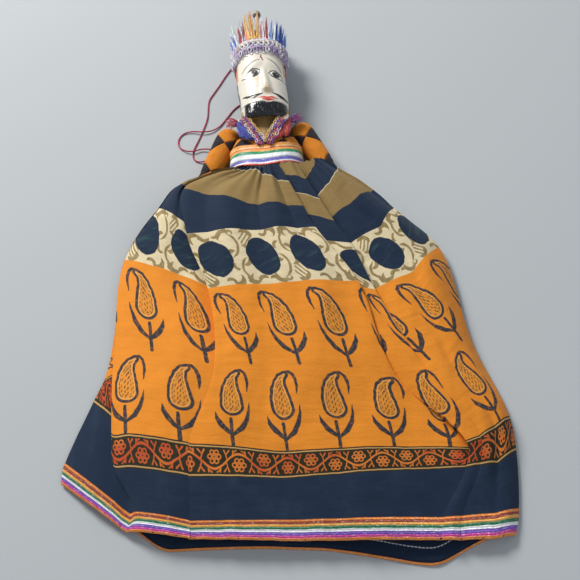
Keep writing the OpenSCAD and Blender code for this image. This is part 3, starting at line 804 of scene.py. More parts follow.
def make_front_skirt(materials):
    rows = band_rows(0, 8)
    points, prints = front_surface(rows)
    points = crease(points, rows, 4)
    n, c, _ = points.shape
    place = np.concatenate([prints, np.zeros((n, c, 1))], axis=-1)
    ends = (0.23, 0.366, 0.751, 0.842)
    band = [sum(0.5 * (rows[i] + rows[i + 1]) > e for e in ends) for i in range(n - 1)]
    band = [b for b in band for _ in range(c - 1)]
    piece = add_mesh("skirt_front_cloth", points.reshape(-1, 3), grid_faces(n, c), materials,
                     place.reshape(-1, 3), band, subdivide=1)
    return piece


# ---------------------------------------------------------------- ribbons

# Stripes of a ribbon: how far from its upper edge each one starts, and its colour.
HEM_STRIPES = (
    (0.0, (0.8, 0.24, 0.03)), (1.8, (0.3, 0.04, 0.03)), (3.6, (0.85, 0.4, 0.07)), (5.8, (0.015, 0.19, 0.09)),
    (8.2, (0.86, 0.88, 0.92)), (10.4, (0.19, 0.08, 0.5)), (13.2, (0.62, 0.05, 0.3)),
    (15.2, (0.82, 0.27, 0.04)))
SASH_STRIPES = (
    (0.0, (0.85, 0.33, 0.05)), (3.4, (0.9, 0.55, 0.2)), (5.2, (0.6, 0.07, 0.04)), (6.6, (0.86, 0.36, 0.06)),
    (9.2, (0.01, 0.3, 0.13)), (13.0, (0.9, 0.93, 0.95)), (17.6, (0.4, 0.44, 0.5)), (18.8, (0.12, 0.12, 0.52)),
    (22.6, (0.86, 0.85, 0.9)), (24.2, (0.72, 0.08, 0.06)))


RIBBON_WIDTH = 17.0
SASH_WIDTH = 26


def striped_ribbon(name, stripes):
    """Woven metallic ribbon: place is (along, across from the upper edge, 0)."""
    p = Paint(name, rough=0.42, metal=0.3, coat=0.25, coat_rough=0.3)
    wave = (p.noise(14.0) - 0.5) * 1.2
    across = p.y + wave
    p.coat_of(stripes[0][1])
    for start, colour in stripes[1:]:
        p.coat_of(colour, (across - start).ramp(-0.2, 0.2))
    glint = p.noise(1.6, 2.0, stretch=(0.5, 1.6, 1)).ramp(0.56, 0.72)
    p.coat_of((0.9, 0.88, 0.86), glint * 0.5)
    p.shade(p.noise(9.0) * 0.5 + 0.75)
    thread = (p.x * (math.pi / 0.5)).sin() * 0.35 + (p.y * (math.pi / 0.9)).sin() * 0.3
    thread = thread + p.noise(2.6, 3.0) * 1.6
    return p.finish(thread, 0.3, rough=p.noise(2.0) * 0.4 + 0.2)


def normals_of(points):
    """Unit normals of a grid of points, pointing to the side that +Z is on for a flat grid."""
    down = np.gradient(points, axis=0)
    across = np.gradient(points, axis=1)
    n = np.cross(down, across)
    n /= np.linalg.norm(n, axis=-1)[..., None] + 1e-9
    return n * np.sign(n[..., 2:3] + 1e-9)


def wrapped_strip(name, points, along, width, thick, material):
    """Binding over an edge: the grid's upper side, round its last row, and back underneath."""
    n = normals_of(points)
    upper = points + n * thick
    lower = (points - n * thick)[::-1]
    edge = points[-1:] + (points[-1:] - points[-2:-1]) * 0.25
    grid = np.concatenate([upper, edge, lower])
    rows, cols, _ = grid.shape
    grid[..., 2] = np.maximum(grid[..., 2], 0.15)
    across = np.linspace(0, width, len(points))
    across = np.concatenate([across, [width + 0.3], across[::-1]])
    place = places(along, across[:, None], (rows, cols))
    return add_mesh(name, grid.reshape(-1, 3), grid_faces(rows, cols), [material], place.reshape(-1, 3))


def make_front_ribbon(material):
    rows = np.linspace(0.946, 1.0, 9)
    points, _ = front_surface(rows)
    points = crease(points, rows, 4)
    along = distances(points[4])
    points[..., 2] += 0.5 * np.sin(along * 0.35)[None, :] * np.linspace(0, 1, 9)[:, None]
    piece = wrapped_strip("hem_ribbon_front_band", points, along, RIBBON_WIDTH, 0.45, material)
    fit(piece, "gota_ribbon", "skirt", "hem_ribbon_front")
    return piece


# ---------------------------------------------------------------- skirt back

# The back panel's side edges as (y, x), and its lower edge as (x, y).
BACK_LEFT = (
    (84, -30), (78, -78), (50, -104), (18, -123), (-60, -139), (-130, -144), (-200, -156), (-300, -140))
BACK_RIGHT = (
    (86, 30), (80, 80), (48, 114), (18, 138), (-70, 165), (-160, 180), (-200, 184), (-300, 166))
BACK_HEM = ((-166, -222), (-140, -247), (-128, -258), (-106, -276), (-68, -277), (-29, -279), (27, -285),
            (59, -292), (98, -302), (114, -304), (150, -288), (175, -280), (184, -262))
BACK_TOP = 80.0


def back_hem(x):
    """Where the back panel ends: lowest right of the middle, rising beside the front flap."""
    smooth = 0
    for shift in (-6, -2, 2, 6):
        smooth = smooth + np.interp(x + shift, [p[0] for p in BACK_HEM], [p[1] for p in BACK_HEM]) / 4
    return smooth


def back_grid(shares):
    """Points of the back panel at these shares of its length; prints (across, down, above the hem)."""
    cols = 90
    out, where = [], []
    for v in shares:
        y0 = BACK_TOP + (-290 - BACK_TOP) * v
        left = np.interp(-y0, [-a for a, _ in BACK_LEFT], [b for _, b in BACK_LEFT])
        right = np.interp(-y0, [-a for a, _ in BACK_RIGHT], [b for _, b in BACK_RIGHT])
        x = left + (right - left) * np.arange(cols) / (cols - 1)
        end = back_hem(x)
        y = BACK_TOP + (end - BACK_TOP) * v
        out.append(np.stack([x, y, np.full(cols, 1.0)], axis=1))
        where.append(np.stack([x + 400, np.full(cols, HEM * v), y - end], axis=1))
    points, where = np.array(out), np.array(where)
    soft = ripple(points.reshape(-1, 3), 30, 7).reshape(points.shape[:2])
    points[..., 2] += 0.5 + soft * 0.7 * np.clip((points[..., 1] + 300) / 40, 0.2, 1)
    return points, where


def back_lining():
    """Navy reverse of the back panel, with the white stitches that hold the ribbon on."""
    p = cloth("stitched_lining")
    p.coat_of(NAVY_INK)
    p.coat_of((0.02, 0.04, 0.075), p.noise(16.0, 3.0).ramp(0.45, 0.75) * 0.5)
    line = ((p.z - 14.5 + (p.noise(11.0) - 0.5) * 1.2).abs() - 0.45).inside(0.2)
    p.coat_of((0.7, 0.72, 0.75), line * (p.x * 2.1).sin().ramp(-0.9, -0.6))
    return cloth_finish(p)


def make_skirt_back(materials):
    shares = np.linspace(0, 0.992, 120)
    points, where = back_grid(shares)
    ends = (NAVY_END, CREAM_END, ORANGE_END, BORDER_END)
    n, c, _ = points.shape
    band = [sum(where[i, 0, 1] + 1.5 > e for e in ends) for i in range(n - 1) for _ in range(c - 1)]
    piece = add_mesh("skirt_back_cloth", points.reshape(-1, 3), grid_faces(n, c), materials,
                     where.reshape(-1, 3), band)
    thicken(piece, 0.5, 1.0)
    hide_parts("skirt_back", "skirt_yoke_back")
    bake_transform(piece)
    return piece


def make_back_ribbon(material):
    """Ribbon sewn to the outside of the back hem; only its turned edge shows from inside."""
    shares = np.linspace(1 - RIBBON_WIDTH / 380, 1.0, 7)
    points, where = back_grid(shares)
    lift = np.array(points)
    lift[..., 2] = 0.5 + 0.3 * np.sin(where[..., 0] * 0.2)
    turned = np.stack([lift[-1] + (lift[-2] - lift[-1]) * share for share in (0.3, 0.85)])
    turned[..., 2] += np.array([1.5, 1.6])[:, None]
    grid = np.concatenate([lift, turned])
    along = where[:, :, 0]
    across = np.concatenate([np.linspace(0, 16.6, 7), [17.2, 18.4]])
    rows, cols, _ = grid.shape
    place = places(along[0], across[:, None], (rows, cols))
    piece = add_mesh("hem_ribbon_back_band", grid.reshape(-1, 3), grid_faces(rows, cols), [material],
                     place.reshape(-1, 3), subdivide=1)
    fit(piece, "gota_ribbon", "skirt", "hem_ribbon_back")
    return piece


# ---------------------------------------------------------------- torso

NECK_Z = 21.0
# Rings across Y: y, half width, half depth, squareness (1 is an ellipse, less is squarer).
BLOUSE_RINGS = (
    (83, 31, 18.5, 0.9), (96, 34, 18.5, 0.9), (108, 34.5, 18.5, 0.9), (118, 31, 18.2, 0.95),
    (126, 26, 17.7, 1), (134, 23.5, 16.9, 1), (139, 22, 16.3, 1))


def oval(half_w, half_d, squareness, degrees, grow=0.0, z=NECK_Z):
    """x and z of points round a squarish oval, at angles from +X towards +Z."""
    a = np.radians(degrees)
    c, s = np.cos(a), np.sin(a)
    return ((half_w + grow) * np.sign(c) * np.abs(c) ** squareness,
            z + (half_d + grow) * np.sign(s) * np.abs(s) ** squareness)


def oval_grid(rings, ys, degrees, grow=0.0):
    """Grid of points through (y, half width, half depth, squareness) rings."""
    keys = [r[0] for r in rings]
    shape = curve_through(keys, [r[1:] for r in rings], ys)
    out = []
    for y, (w, d, q) in zip(ys, shape):
        x, z = oval(w, d, q, degrees, grow)
        out.append(np.stack([x, np.full_like(x, y), z], axis=1))
    return np.array(out)


def patchwork():
    """Diamonds of orange and near-black cloth sewn together; place is (across, along, 0)."""
    p = cloth("patchwork")
    x, y = wobble(p, 0.8)
    size = 36.0
    one, other = y + x + 14.0, y - x * 0.75 + 10.0
    check = ((one / size).floor() + (other / size).floor()).mod(2.0)
    p.coat_of((0.74, 0.25, 0.02))
    p.coat_of((0.024, 0.019, 0.024), check)
    p.shade(p.noise(12.0) * 0.4 + 0.8)
    gap_one = ((one.mod(size) - size / 2).abs() - size / 2) * -1.0
    gap_other = ((other.mod(size) - size / 2).abs() - size / 2) * -1.0
    seam = gap_one.least(gap_other)
    # painted shade in the seam grooves: the cloth darkens to 0.6 of its colour at each seam
    p.shade(seam.ramp(0.0, 1.2) * 0.4 + 0.6)
    height = seam.ramp(0.0, 1.6) * 2.5 + weave(p) * 0.4 + p.noise(5.0, 3.0) * 1.5
    return p.finish(height, 0.5)


def in_neck_opening(corners):
    """Whether a face lies in the V that shows the carved neck."""
    x, y, _ = corners.mean(axis=0)
    return abs(x) < (y - 110) * 0.62 - 1.5


def make_blouse(material):
    ys = np.linspace(83, 139, 40)
    for name, node, first, last in (("blouse_front_panel", "blouse_front", 179.4, 0.6),
                                    ("blouse_back_panel", "blouse_back", 359.4, 180.6)):
        degrees = np.linspace(first, last, 64)
        grid = oval_grid(BLOUSE_RINGS, ys, degrees)
        soft = ripple(grid.reshape(-1, 3) * (1, 1.6, 1), 11, 5).reshape(grid.shape[:2])
        grid = pushed_out(grid, NECK_Z, soft * 0.5)
        place = places(grid[..., 0], grid[..., 1], grid.shape[:2])
        verts = grid.reshape(-1, 3)
        faces = grid_faces(*grid.shape[:2])
        if name == "blouse_front_panel":
            faces = [f for f in faces if not in_neck_opening(verts[list(f)])]
        piece = add_mesh(name, verts, faces, [material], place.reshape(-1, 3))
        thicken(piece, 0.9, 1.0 if name == "blouse_front_panel" else -1.0)
        fit(piece, "patchwork", "bust", node)


def cotton():
    p = Paint("cotton_stuffing", rough=0.95, sheen=0.4)
    p.coat_of((0.78, 0.74, 0.66))
    p.shade(p.noise(4.0, 4.0) * 0.4 + 0.75)
    return p.finish(p.noise(1.5, 4.0), 0.8)


def closed_loft(name, grid, materials, place=None, subdivide=0):
    """Piece from rings of points, with a point in the middle of each end."""
    rows, cols, _ = grid.shape
    verts = np.concatenate([grid.reshape(-1, 3), [grid[0].mean(axis=0)], [grid[-1].mean(axis=0)]])
    faces = grid_faces(rows, cols, wrap=True)
    low, high = rows * cols, rows * cols + 1
    faces += [(low, (k + 1) % cols, k) for k in range(cols)]
    faces += [(high, (rows - 1) * cols + k, (rows - 1) * cols + (k + 1) % cols) for k in range(cols)]
    if place is not None:
        place = np.concatenate([place.reshape(-1, 3), [place[0].mean(axis=0)], [place[-1].mean(axis=0)]])
    return add_mesh(name, verts, faces, materials, place, subdivide=subdivide)


def make_body_padding(material):
    ys = np.linspace(62.5, 103, 24)
    rings = ((62, 25, 12.5, 0.9), (68, 28.8, 16, 0.9), (76, 29.2, 16.6, 0.9), (82, 29.2, 16.6, 0.9),
             (104, 29.4, 16.6, 0.9))
    grid = oval_grid(rings, ys, np.arange(0, 360, 7.5)[::-1])
    lumps = ripple(grid.reshape(-1, 3), 9, 8).reshape(grid.shape[:2])
    grid[..., 2] += lumps * 0.5
    piece = closed_loft("body_padding", grid, [material])
    fit(piece, "stuffing", "bust", "torso_stuffing")


def make_sash(material):
    """The ribbon wound round the waist: a wrinkled band that dips a little at the middle."""
    degrees = np.linspace(0, 360, 181)[:-1]
    shares = np.linspace(0, 1, 27)
    rows = []
    for s in shares:
        w, d = 34.8 + 0.4 * math.sin(math.pi * s), 18.75 + 0.4 * math.sin(math.pi * s)
        x, z = oval(w, d, 0.9, degrees, 0.75)
        front = np.clip((z - NECK_Z) / 18, 0, 1)
        sag = 1.5 + 4.5 * np.exp(-((x + 2) / 20) ** 2)
        y = 84.3 + 25.2 * (1 - s) - front * sag
        rows.append(np.stack([x, y, z], axis=1))
    grid = np.array(rows)
    flat = grid.reshape(-1, 3)
    crinkle = ripple(flat * (0.35, 1, 0.35), 5, 11) * 0.55 + ripple(flat, 8, 12) * 0.35
    shape = grid.shape[:2]
    grid = pushed_out(grid, NECK_Z, crinkle.reshape(shape) + 0.15)
    grid[..., 2] = np.maximum(grid[..., 2], 0.9)
    place = places(degrees * 0.5, (shares * SASH_WIDTH)[:, None], shape)
    piece = add_mesh("sash_band", grid.reshape(-1, 3), grid_faces(*shape, wrap=True), [material],
                     place.reshape(-1, 3))
    thicken(piece, 0.5, 1.0)
    fit(piece, "gota_ribbon", "bust", "sash_ribbon")


def bundle(name, paths, radii, picks, sides, material, closed=False):
    """Many thin strands as one piece; place is (which colour, distance along, strand number)."""
    verts, faces, place = [], [], []
    base = 0
    for number, (path, radius, pick) in enumerate(zip(paths, radii, picks)):
        path = np.asarray(path, float)
        if closed:
            v, f = tube(np.concatenate([path, path[:1]]), radius, sides)
            v = v[:-sides]
            f = grid_faces(len(path), sides, wrap=True)
            f += closing_faces(len(path), sides)
        else:
            v, f = tube(path, radius, sides)
        verts.append(v)
        faces += [tuple(i + base for i in face) for face in f]
        base += len(v)
        steps = len(v) // sides
        reach = distances(path)[:steps]
        place += [(pick, d, number) for d in reach for _ in range(sides)]
    return add_mesh(name, np.concatenate(verts), faces, [material], place)


def strand_palette(name, colours, rough, metal, highlight_strength=0.4):
    """Threads or tinsel in several colours, flecked with painted highlights: place.x says which colour a
    strand has.
    """
    p = Paint(name, rough=rough, metal=metal, sheen=0.2)
    p.coat_of(colours[0])
    for i, colour in enumerate(colours[1:], 1):
        p.coat_of(colour, (p.x - (i - 0.5)).ramp(-0.01, 0.01))
    # near-white flecks along the strands are painted highlights; the last argument sets how strong they are
    painted_sparkle = p.noise(1.3, 2.0, at=p.point(p.y, p.z * 3.1, p.x)).ramp(0.55, 0.7)
    p.coat_of((0.92, 0.9, 0.88), painted_sparkle * highlight_strength)
    p.shade(p.noise(2.5, at=p.point(p.y * 0.4, p.z * 7.7, 0.0)) * 0.7 + 0.62)
    return p.finish((p.y * 7.0).sin() * 0.5 + 0.5, 0.12)


def scatter(rng, *ranges):
    """A vector of random numbers, one from each range."""
    return np.array([rng.uniform(low, high) for low, high in ranges])


COLLAR_COLOURS = (
    (0.8, 0.5, 0.1), (0.1, 0.06, 0.36), (0.66, 0.05, 0.05), (0.85, 0.84, 0.82), (0.36, 0.08, 0.36))


def make_collar(side, name, node, material, seed):
    """One leg of the V: four rows of small loops, laid over each other like crochet chain."""
    rng = random.Random(seed)
    top = np.array([side * 20.5, 141.0, 37.5])
    foot = np.array([side * 2.6, 103.5, 42.2])
    count = 14
    paths, picks = [], []
    row_colours = ((0, 0, 3), (1, 4, 1), (2, 2, 0), (4, 1, 3))
    line = top - foot
    line_unit = line / np.linalg.norm(line)
    wide = np.cross(line_unit, (0, 0, 1))
    wide /= np.linalg.norm(wide)
    for row in range(4):
        shift = (row - 1.5) * 2.5 * side
        for i in range(count):
            s = (i + 0.5 + 0.25 * (row % 2)) / count
            middle = foot + line * s + wide * shift + (0, 0, 1.6 * math.sin(math.pi * s) + 0.5)
            middle = middle + scatter(rng, (-0.4, 0.4), (-0.5, 0.5), (-0.2, 0.7))
            turn = rng.uniform(-0.5, 0.5)
            a = np.arange(10) * 2 * math.pi / 10
            long, short = rng.uniform(1.9, 2.6), rng.uniform(1.0, 1.5)
            u = np.cos(a) * long
            w = np.sin(a) * short
            du = line_unit * math.cos(turn) + wide * math.sin(turn)
            dw = wide * math.cos(turn) - line_unit * math.sin(turn)
            lift = np.stack([a * 0, a * 0, np.sin(a * 2) * 0.45], 1)
            paths.append(middle + u[:, None] * du + w[:, None] * dw + lift)
            picks.append(rng.choice(row_colours[row]))
    ground = [foot + line * s + (0, 0, 1.6 * math.sin(math.pi * s) - 0.7) for s in np.linspace(0, 1, 14)]
    for shift in (-3.2, -1.1, 1.1, 3.2):
        paths.append(np.array([g + wide * shift for g in ground]))
    open_part = bundle(name, paths[:-4], [0.42] * (len(paths) - 4), picks, 6, material, closed=True)
    backing = bundle(name + "_chain", paths[-4:], [1.15] * 4, [1, 4, 1, 2], 8, material)
    fit(open_part, "braid", "bust", node)
    fit(backing, "braid", "bust")


def make_tassel(side, name, node, colours, seed):
    """Tinsel strands that fan out from the shoulder and lie over the chest."""
    rng = random.Random(seed)
    top = np.array([side * 26.0, 139.5, 33.0])
    foot = np.array([side * 16.0, 108.5, 42.6])
    paths, radii, picks = [], [], []
    for _ in range(110):
        spread = rng.uniform(-1, 1)
        depth = rng.uniform(-1, 1)
        reach = rng.uniform(0.78, 1.0)
        end = top + (foot - top) * reach + np.array([side * -spread * 7.2, -spread * 1.6, depth * 0.9])
        end[2] = min(max(end[2], 39.8), 44.0)
        start = top + np.array([spread * 1.2 * -side, rng.uniform(-0.6, 0.6), depth * 0.9])
        bend = scatter(rng, (-0.9, 0.9), (-0.5, 0.5), (0.6, 1.9))
        paths.append(bent(start, end, bend, 8))
        radii.append([0.34] * 7 + [0.2])
        picks.append(rng.choice(range(len(colours))))
    piece = bundle(name, paths, radii, picks, 4, strand_palette(name + "_tinsel", colours, 0.38, 0.25))
    fit(piece, "blue_tinsel" if side < 0 else "red_tinsel", "bust", node)


def make_tuft(side, name, node, colours, seed):
    """Tangled thread ends on top of the shoulder."""
    rng = random.Random(seed)
    root = np.array([side * 27.0, 140.0, 30.5])
    paths, radii, picks = [], [], []
    for _ in range(60):
        reach = rng.uniform(5, 13)
        lean = rng.uniform(-0.9, 0.9)
        end = root + np.array([side * reach * math.cos(lean), reach * math.sin(lean) * 0.8 + 1.0,
                               rng.uniform(-2.5, 3)])
        bend = scatter(rng, (-2.5, 2.5), (-2.5, 2.5), (0, 2.5))
        start = root + scatter(rng, (-2.5, 2.5), (-3, 3), (-0.8, 0.8))
        paths.append(bent(start, end, bend, 8))
        radii.append(0.26)
        picks.append(rng.choice(range(len(colours))))
    piece = bundle(name, paths, radii, picks, 4, strand_palette(name + "_thread", colours, 0.7, 0.0, 0.15))
    fit(piece, "red_tinsel" if side < 0 else "purple_thread", "bust", node)


def make_waist_cord(material):
    a = np.linspace(0, 2 * math.pi, 97)[:-1]
    x, z = oval(30.4, 17.8, 0.9, np.degrees(a))
    path = np.stack([x, np.full_like(x, 76.0), z], axis=1)
    piece = bundle("drawstring", [path], [0.9], [0], 8, material, closed=True)
    fit(piece, "string_cotton", "bust", "waist_cord")


# ---------------------------------------------------------------- arms

# The arm's frame: the shoulder's place and how far the arm leans out from -Y.
SHOULDER_X, SHOULDER_Y, ARM_Z = 38, 134, 15
ARM_LEAN = math.radians(25)
# Along the arm from the shoulder (down is negative), half width, half depth.
ARM_STATIONS = (
    (12.6, 3.0, 2.5), (10.5, 7.5, 6.0), (5, 11.6, 9.2), (-2, 12.6, 10.0), (-20, 12.1, 10.0), (-38, 11.2, 9.6),
    (-46, 10.4, 8.6), (-52, 9.6, 7.4), (-58, 9.7, 8.3), (-75, 9.5, 8.8), (-90, 9.0, 8.2), (-98, 6.6, 5.6),
    (-103.4, 2.2, 2.0))


def arm_place(side, verts):
    """Millimetres across and along the arm, for points given in the shared frame."""
    dx, dy = (verts[:, 0] - side * SHOULDER_X) * side, verts[:, 1] - SHOULDER_Y
    along = -(dx * math.sin(ARM_LEAN) - dy * math.cos(ARM_LEAN))
    across = dx * math.cos(ARM_LEAN) + dy * math.sin(ARM_LEAN)
    return places(across, along, len(verts))


SWELL_FRAMES = 14


def swell(piece, cap):
    """Fills a piece like a stuffed bag with the cloth solver; no point moves further than cap."""
    modifier = piece.modifiers.new("remesh", "REMESH")
    modifier.mode = "VOXEL"
    modifier.voxel_size = 0.0022
    bpy.context.view_layer.objects.active = piece
    bpy.ops.object.modifier_apply(modifier="remesh")
    before = np.array([v.co[:] for v in piece.data.vertices])
    stuff = piece.modifiers.new("stuff", "CLOTH")
    stuff.settings.use_pressure = True
    stuff.settings.uniform_pressure_force = 4
    stuff.settings.effector_weights.gravity = 0
    stuff.settings.mass = 0.2
    for frame_number in range(1, SWELL_FRAMES + 1):
        bpy.context.scene.frame_set(frame_number)
    shown = piece.evaluated_get(bpy.context.evaluated_depsgraph_get())
    after = np.array([v.co[:] for v in shown.data.vertices])
    piece.modifiers.remove(stuff)
    bpy.context.scene.frame_set(1)
    move = after - before
    length = np.linalg.norm(move, axis=1)[:, None] + 1e-12
    after = before + move / length * np.minimum(length, cap * MM)
    piece.data.vertices.foreach_set("co", after.ravel())
    piece.data.update()


def make_arm(side, word, material):
    ys = np.concatenate([np.linspace(12.6, 2, 9), np.linspace(0, -96, 60), np.linspace(-97.5, -103.4, 6)])
    shape = curve_through([-s[0] for s in ARM_STATIONS], [s[1:] for s in ARM_STATIONS], -ys)
    degrees = np.arange(0, 360, 9.0)
    sine, cosine = math.sin(ARM_LEAN), math.cos(ARM_LEAN)
    rows = []
    for y, (w, d) in zip(ys, shape):
        x, z = oval(w, d, 0.85, degrees, -0.4, z=ARM_Z)
        fold = 0.5 * math.sin(y * 0.9) * math.exp(-((y + 51) / 9) ** 2)
        z = z + fold * np.sign(z - ARM_Z)
        across = side * (SHOULDER_X + (x * cosine - y * sine))
        down = SHOULDER_Y + (x * sine + y * cosine)
        rows.append(np.stack([across, down, z], axis=1))
    grid = np.array(rows)
    lumps = ripple(grid.reshape(-1, 3) * (1, 1, 0.6), 10, 20 + side).reshape(grid.shape[:2])
    grid[..., 2] += lumps * 0.7 * np.sign(grid[..., 2] - ARM_Z)
    piece = closed_loft(word + "_arm_sleeve", grid, [material])
    swell(piece, 1.2)
    verts = np.array([v.co[:] for v in piece.data.vertices]) / MM
    layer = piece.data.attributes.get("place") or piece.data.attributes.new("place", "FLOAT_VECTOR", "POINT")
    layer.data.foreach_set("vector", arm_place(side, verts).ravel())
    piece.data.polygons.foreach_set("use_smooth", [True] * len(piece.data.polygons))
    soften(piece)
    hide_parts(word + "_upper_sleeve", word + "_upper_stuffing", word + "_lower_sleeve",
                word + "_lower_stuffing")
    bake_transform(piece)


# ---------------------------------------------------------------- head

HEAD_Z = 24.0
# y, half width, half depth, squareness, lean and height of the axis
HEAD_RINGS = (
    (104, 22, 12, 0.8, 0, 21), (112, 24, 13, 0.85, 0, 21), (126, 22, 13, 0.9, 0, 21), (134, 18, 13, 1, 0, 21),
    (144, 17, 13, 1, 0, 22), (148.5, 20.5, 15.5, 0.85, -0.45, 23), (151, 24, 18.3, 0.66, -0.74, 24),
    (153, 24.6, 20.2, 0.68, -0.6, 24), (156, 24.9, 21.6, 0.74, -0.42, 24), (160, 25.1, 22.8, 0.8, -0.24, 24),
    (174, 25.6, 23.7, 0.85, 0, 24), (200, 26, 24, 0.88, 0, 24), (214, 26, 24, 0.9, 0, 24),
    (232, 25, 23, 0.95, 0, 24), (240, 22, 20, 1, 0, 24))
# The face is carved and painted about this x, as the head is turned a little.
FACE_X = 3.6


def carve(x, y):
    """How far the carved face stands proud of the plain block, in millimetres."""
    u = x - FACE_X
    height = np.interp(y, (160, 164, 168, 172, 194, 200), (0, 0.8, 4.6, 4.4, 1.0, 0))
    half = np.interp(y, (160, 168, 194, 200), (5.2, 4.6, 2.2, 2.0))
    nose = height * np.exp(-np.abs(u / half) ** 3)
    wings = 1.0 * np.exp(-(((np.abs(u) - 3.6) / 1.5) ** 2 + ((y - 168.5) / 2.0) ** 2))
    brow = 0.9 * np.exp(-((y - 206 + 0.03 * u * u) / 4.5) ** 2) * np.clip(np.abs(u) / 6, 0, 1)
    socket = -1.1 * np.exp(-(((np.abs(u) - 11) / 7.5) ** 2 + ((y - 191) / 6.0) ** 2))
    ball = 1.1 * np.exp(-(((np.abs(u) - 11) / 5.2) ** 2 + ((y - 191) / 3.6) ** 2))
    lips = 1.3 * np.exp(-((u / 8.5) ** 4 + ((y - 156.6) / 2.6) ** 2))
    part = -0.5 * np.exp(-((u / 8.0) ** 4 + ((y - 156.4) / 0.7) ** 2))
    tache = 0.7 * np.exp(-((np.abs(u) - 14) / 8) ** 4 - ((y - 162 + np.abs(u) * 0.06) / 2.0) ** 2)
    beard = 0.7 * (1 - smoothstep(152.6, 154.0, y + 0.05 * u)) * np.clip(1 - (np.abs(u) / 21) ** 8, 0, 1)
    return nose + wings + brow + socket + ball + lips + part + tache + beard


def eye(u, v, middle, slope, half, corner_lift):
    """Mask of an almond eye, wide towards its upper lid."""
    e = (u - middle[0]) / half
    line = e * slope + middle[1]
    lid = e * e * -1.0 + 1.0
    return (line + lid * (4.4 + corner_lift) - v).ramp(-0.2, 0.3) * (v - (line - lid * 3.3)).ramp(-0.2, 0.3)


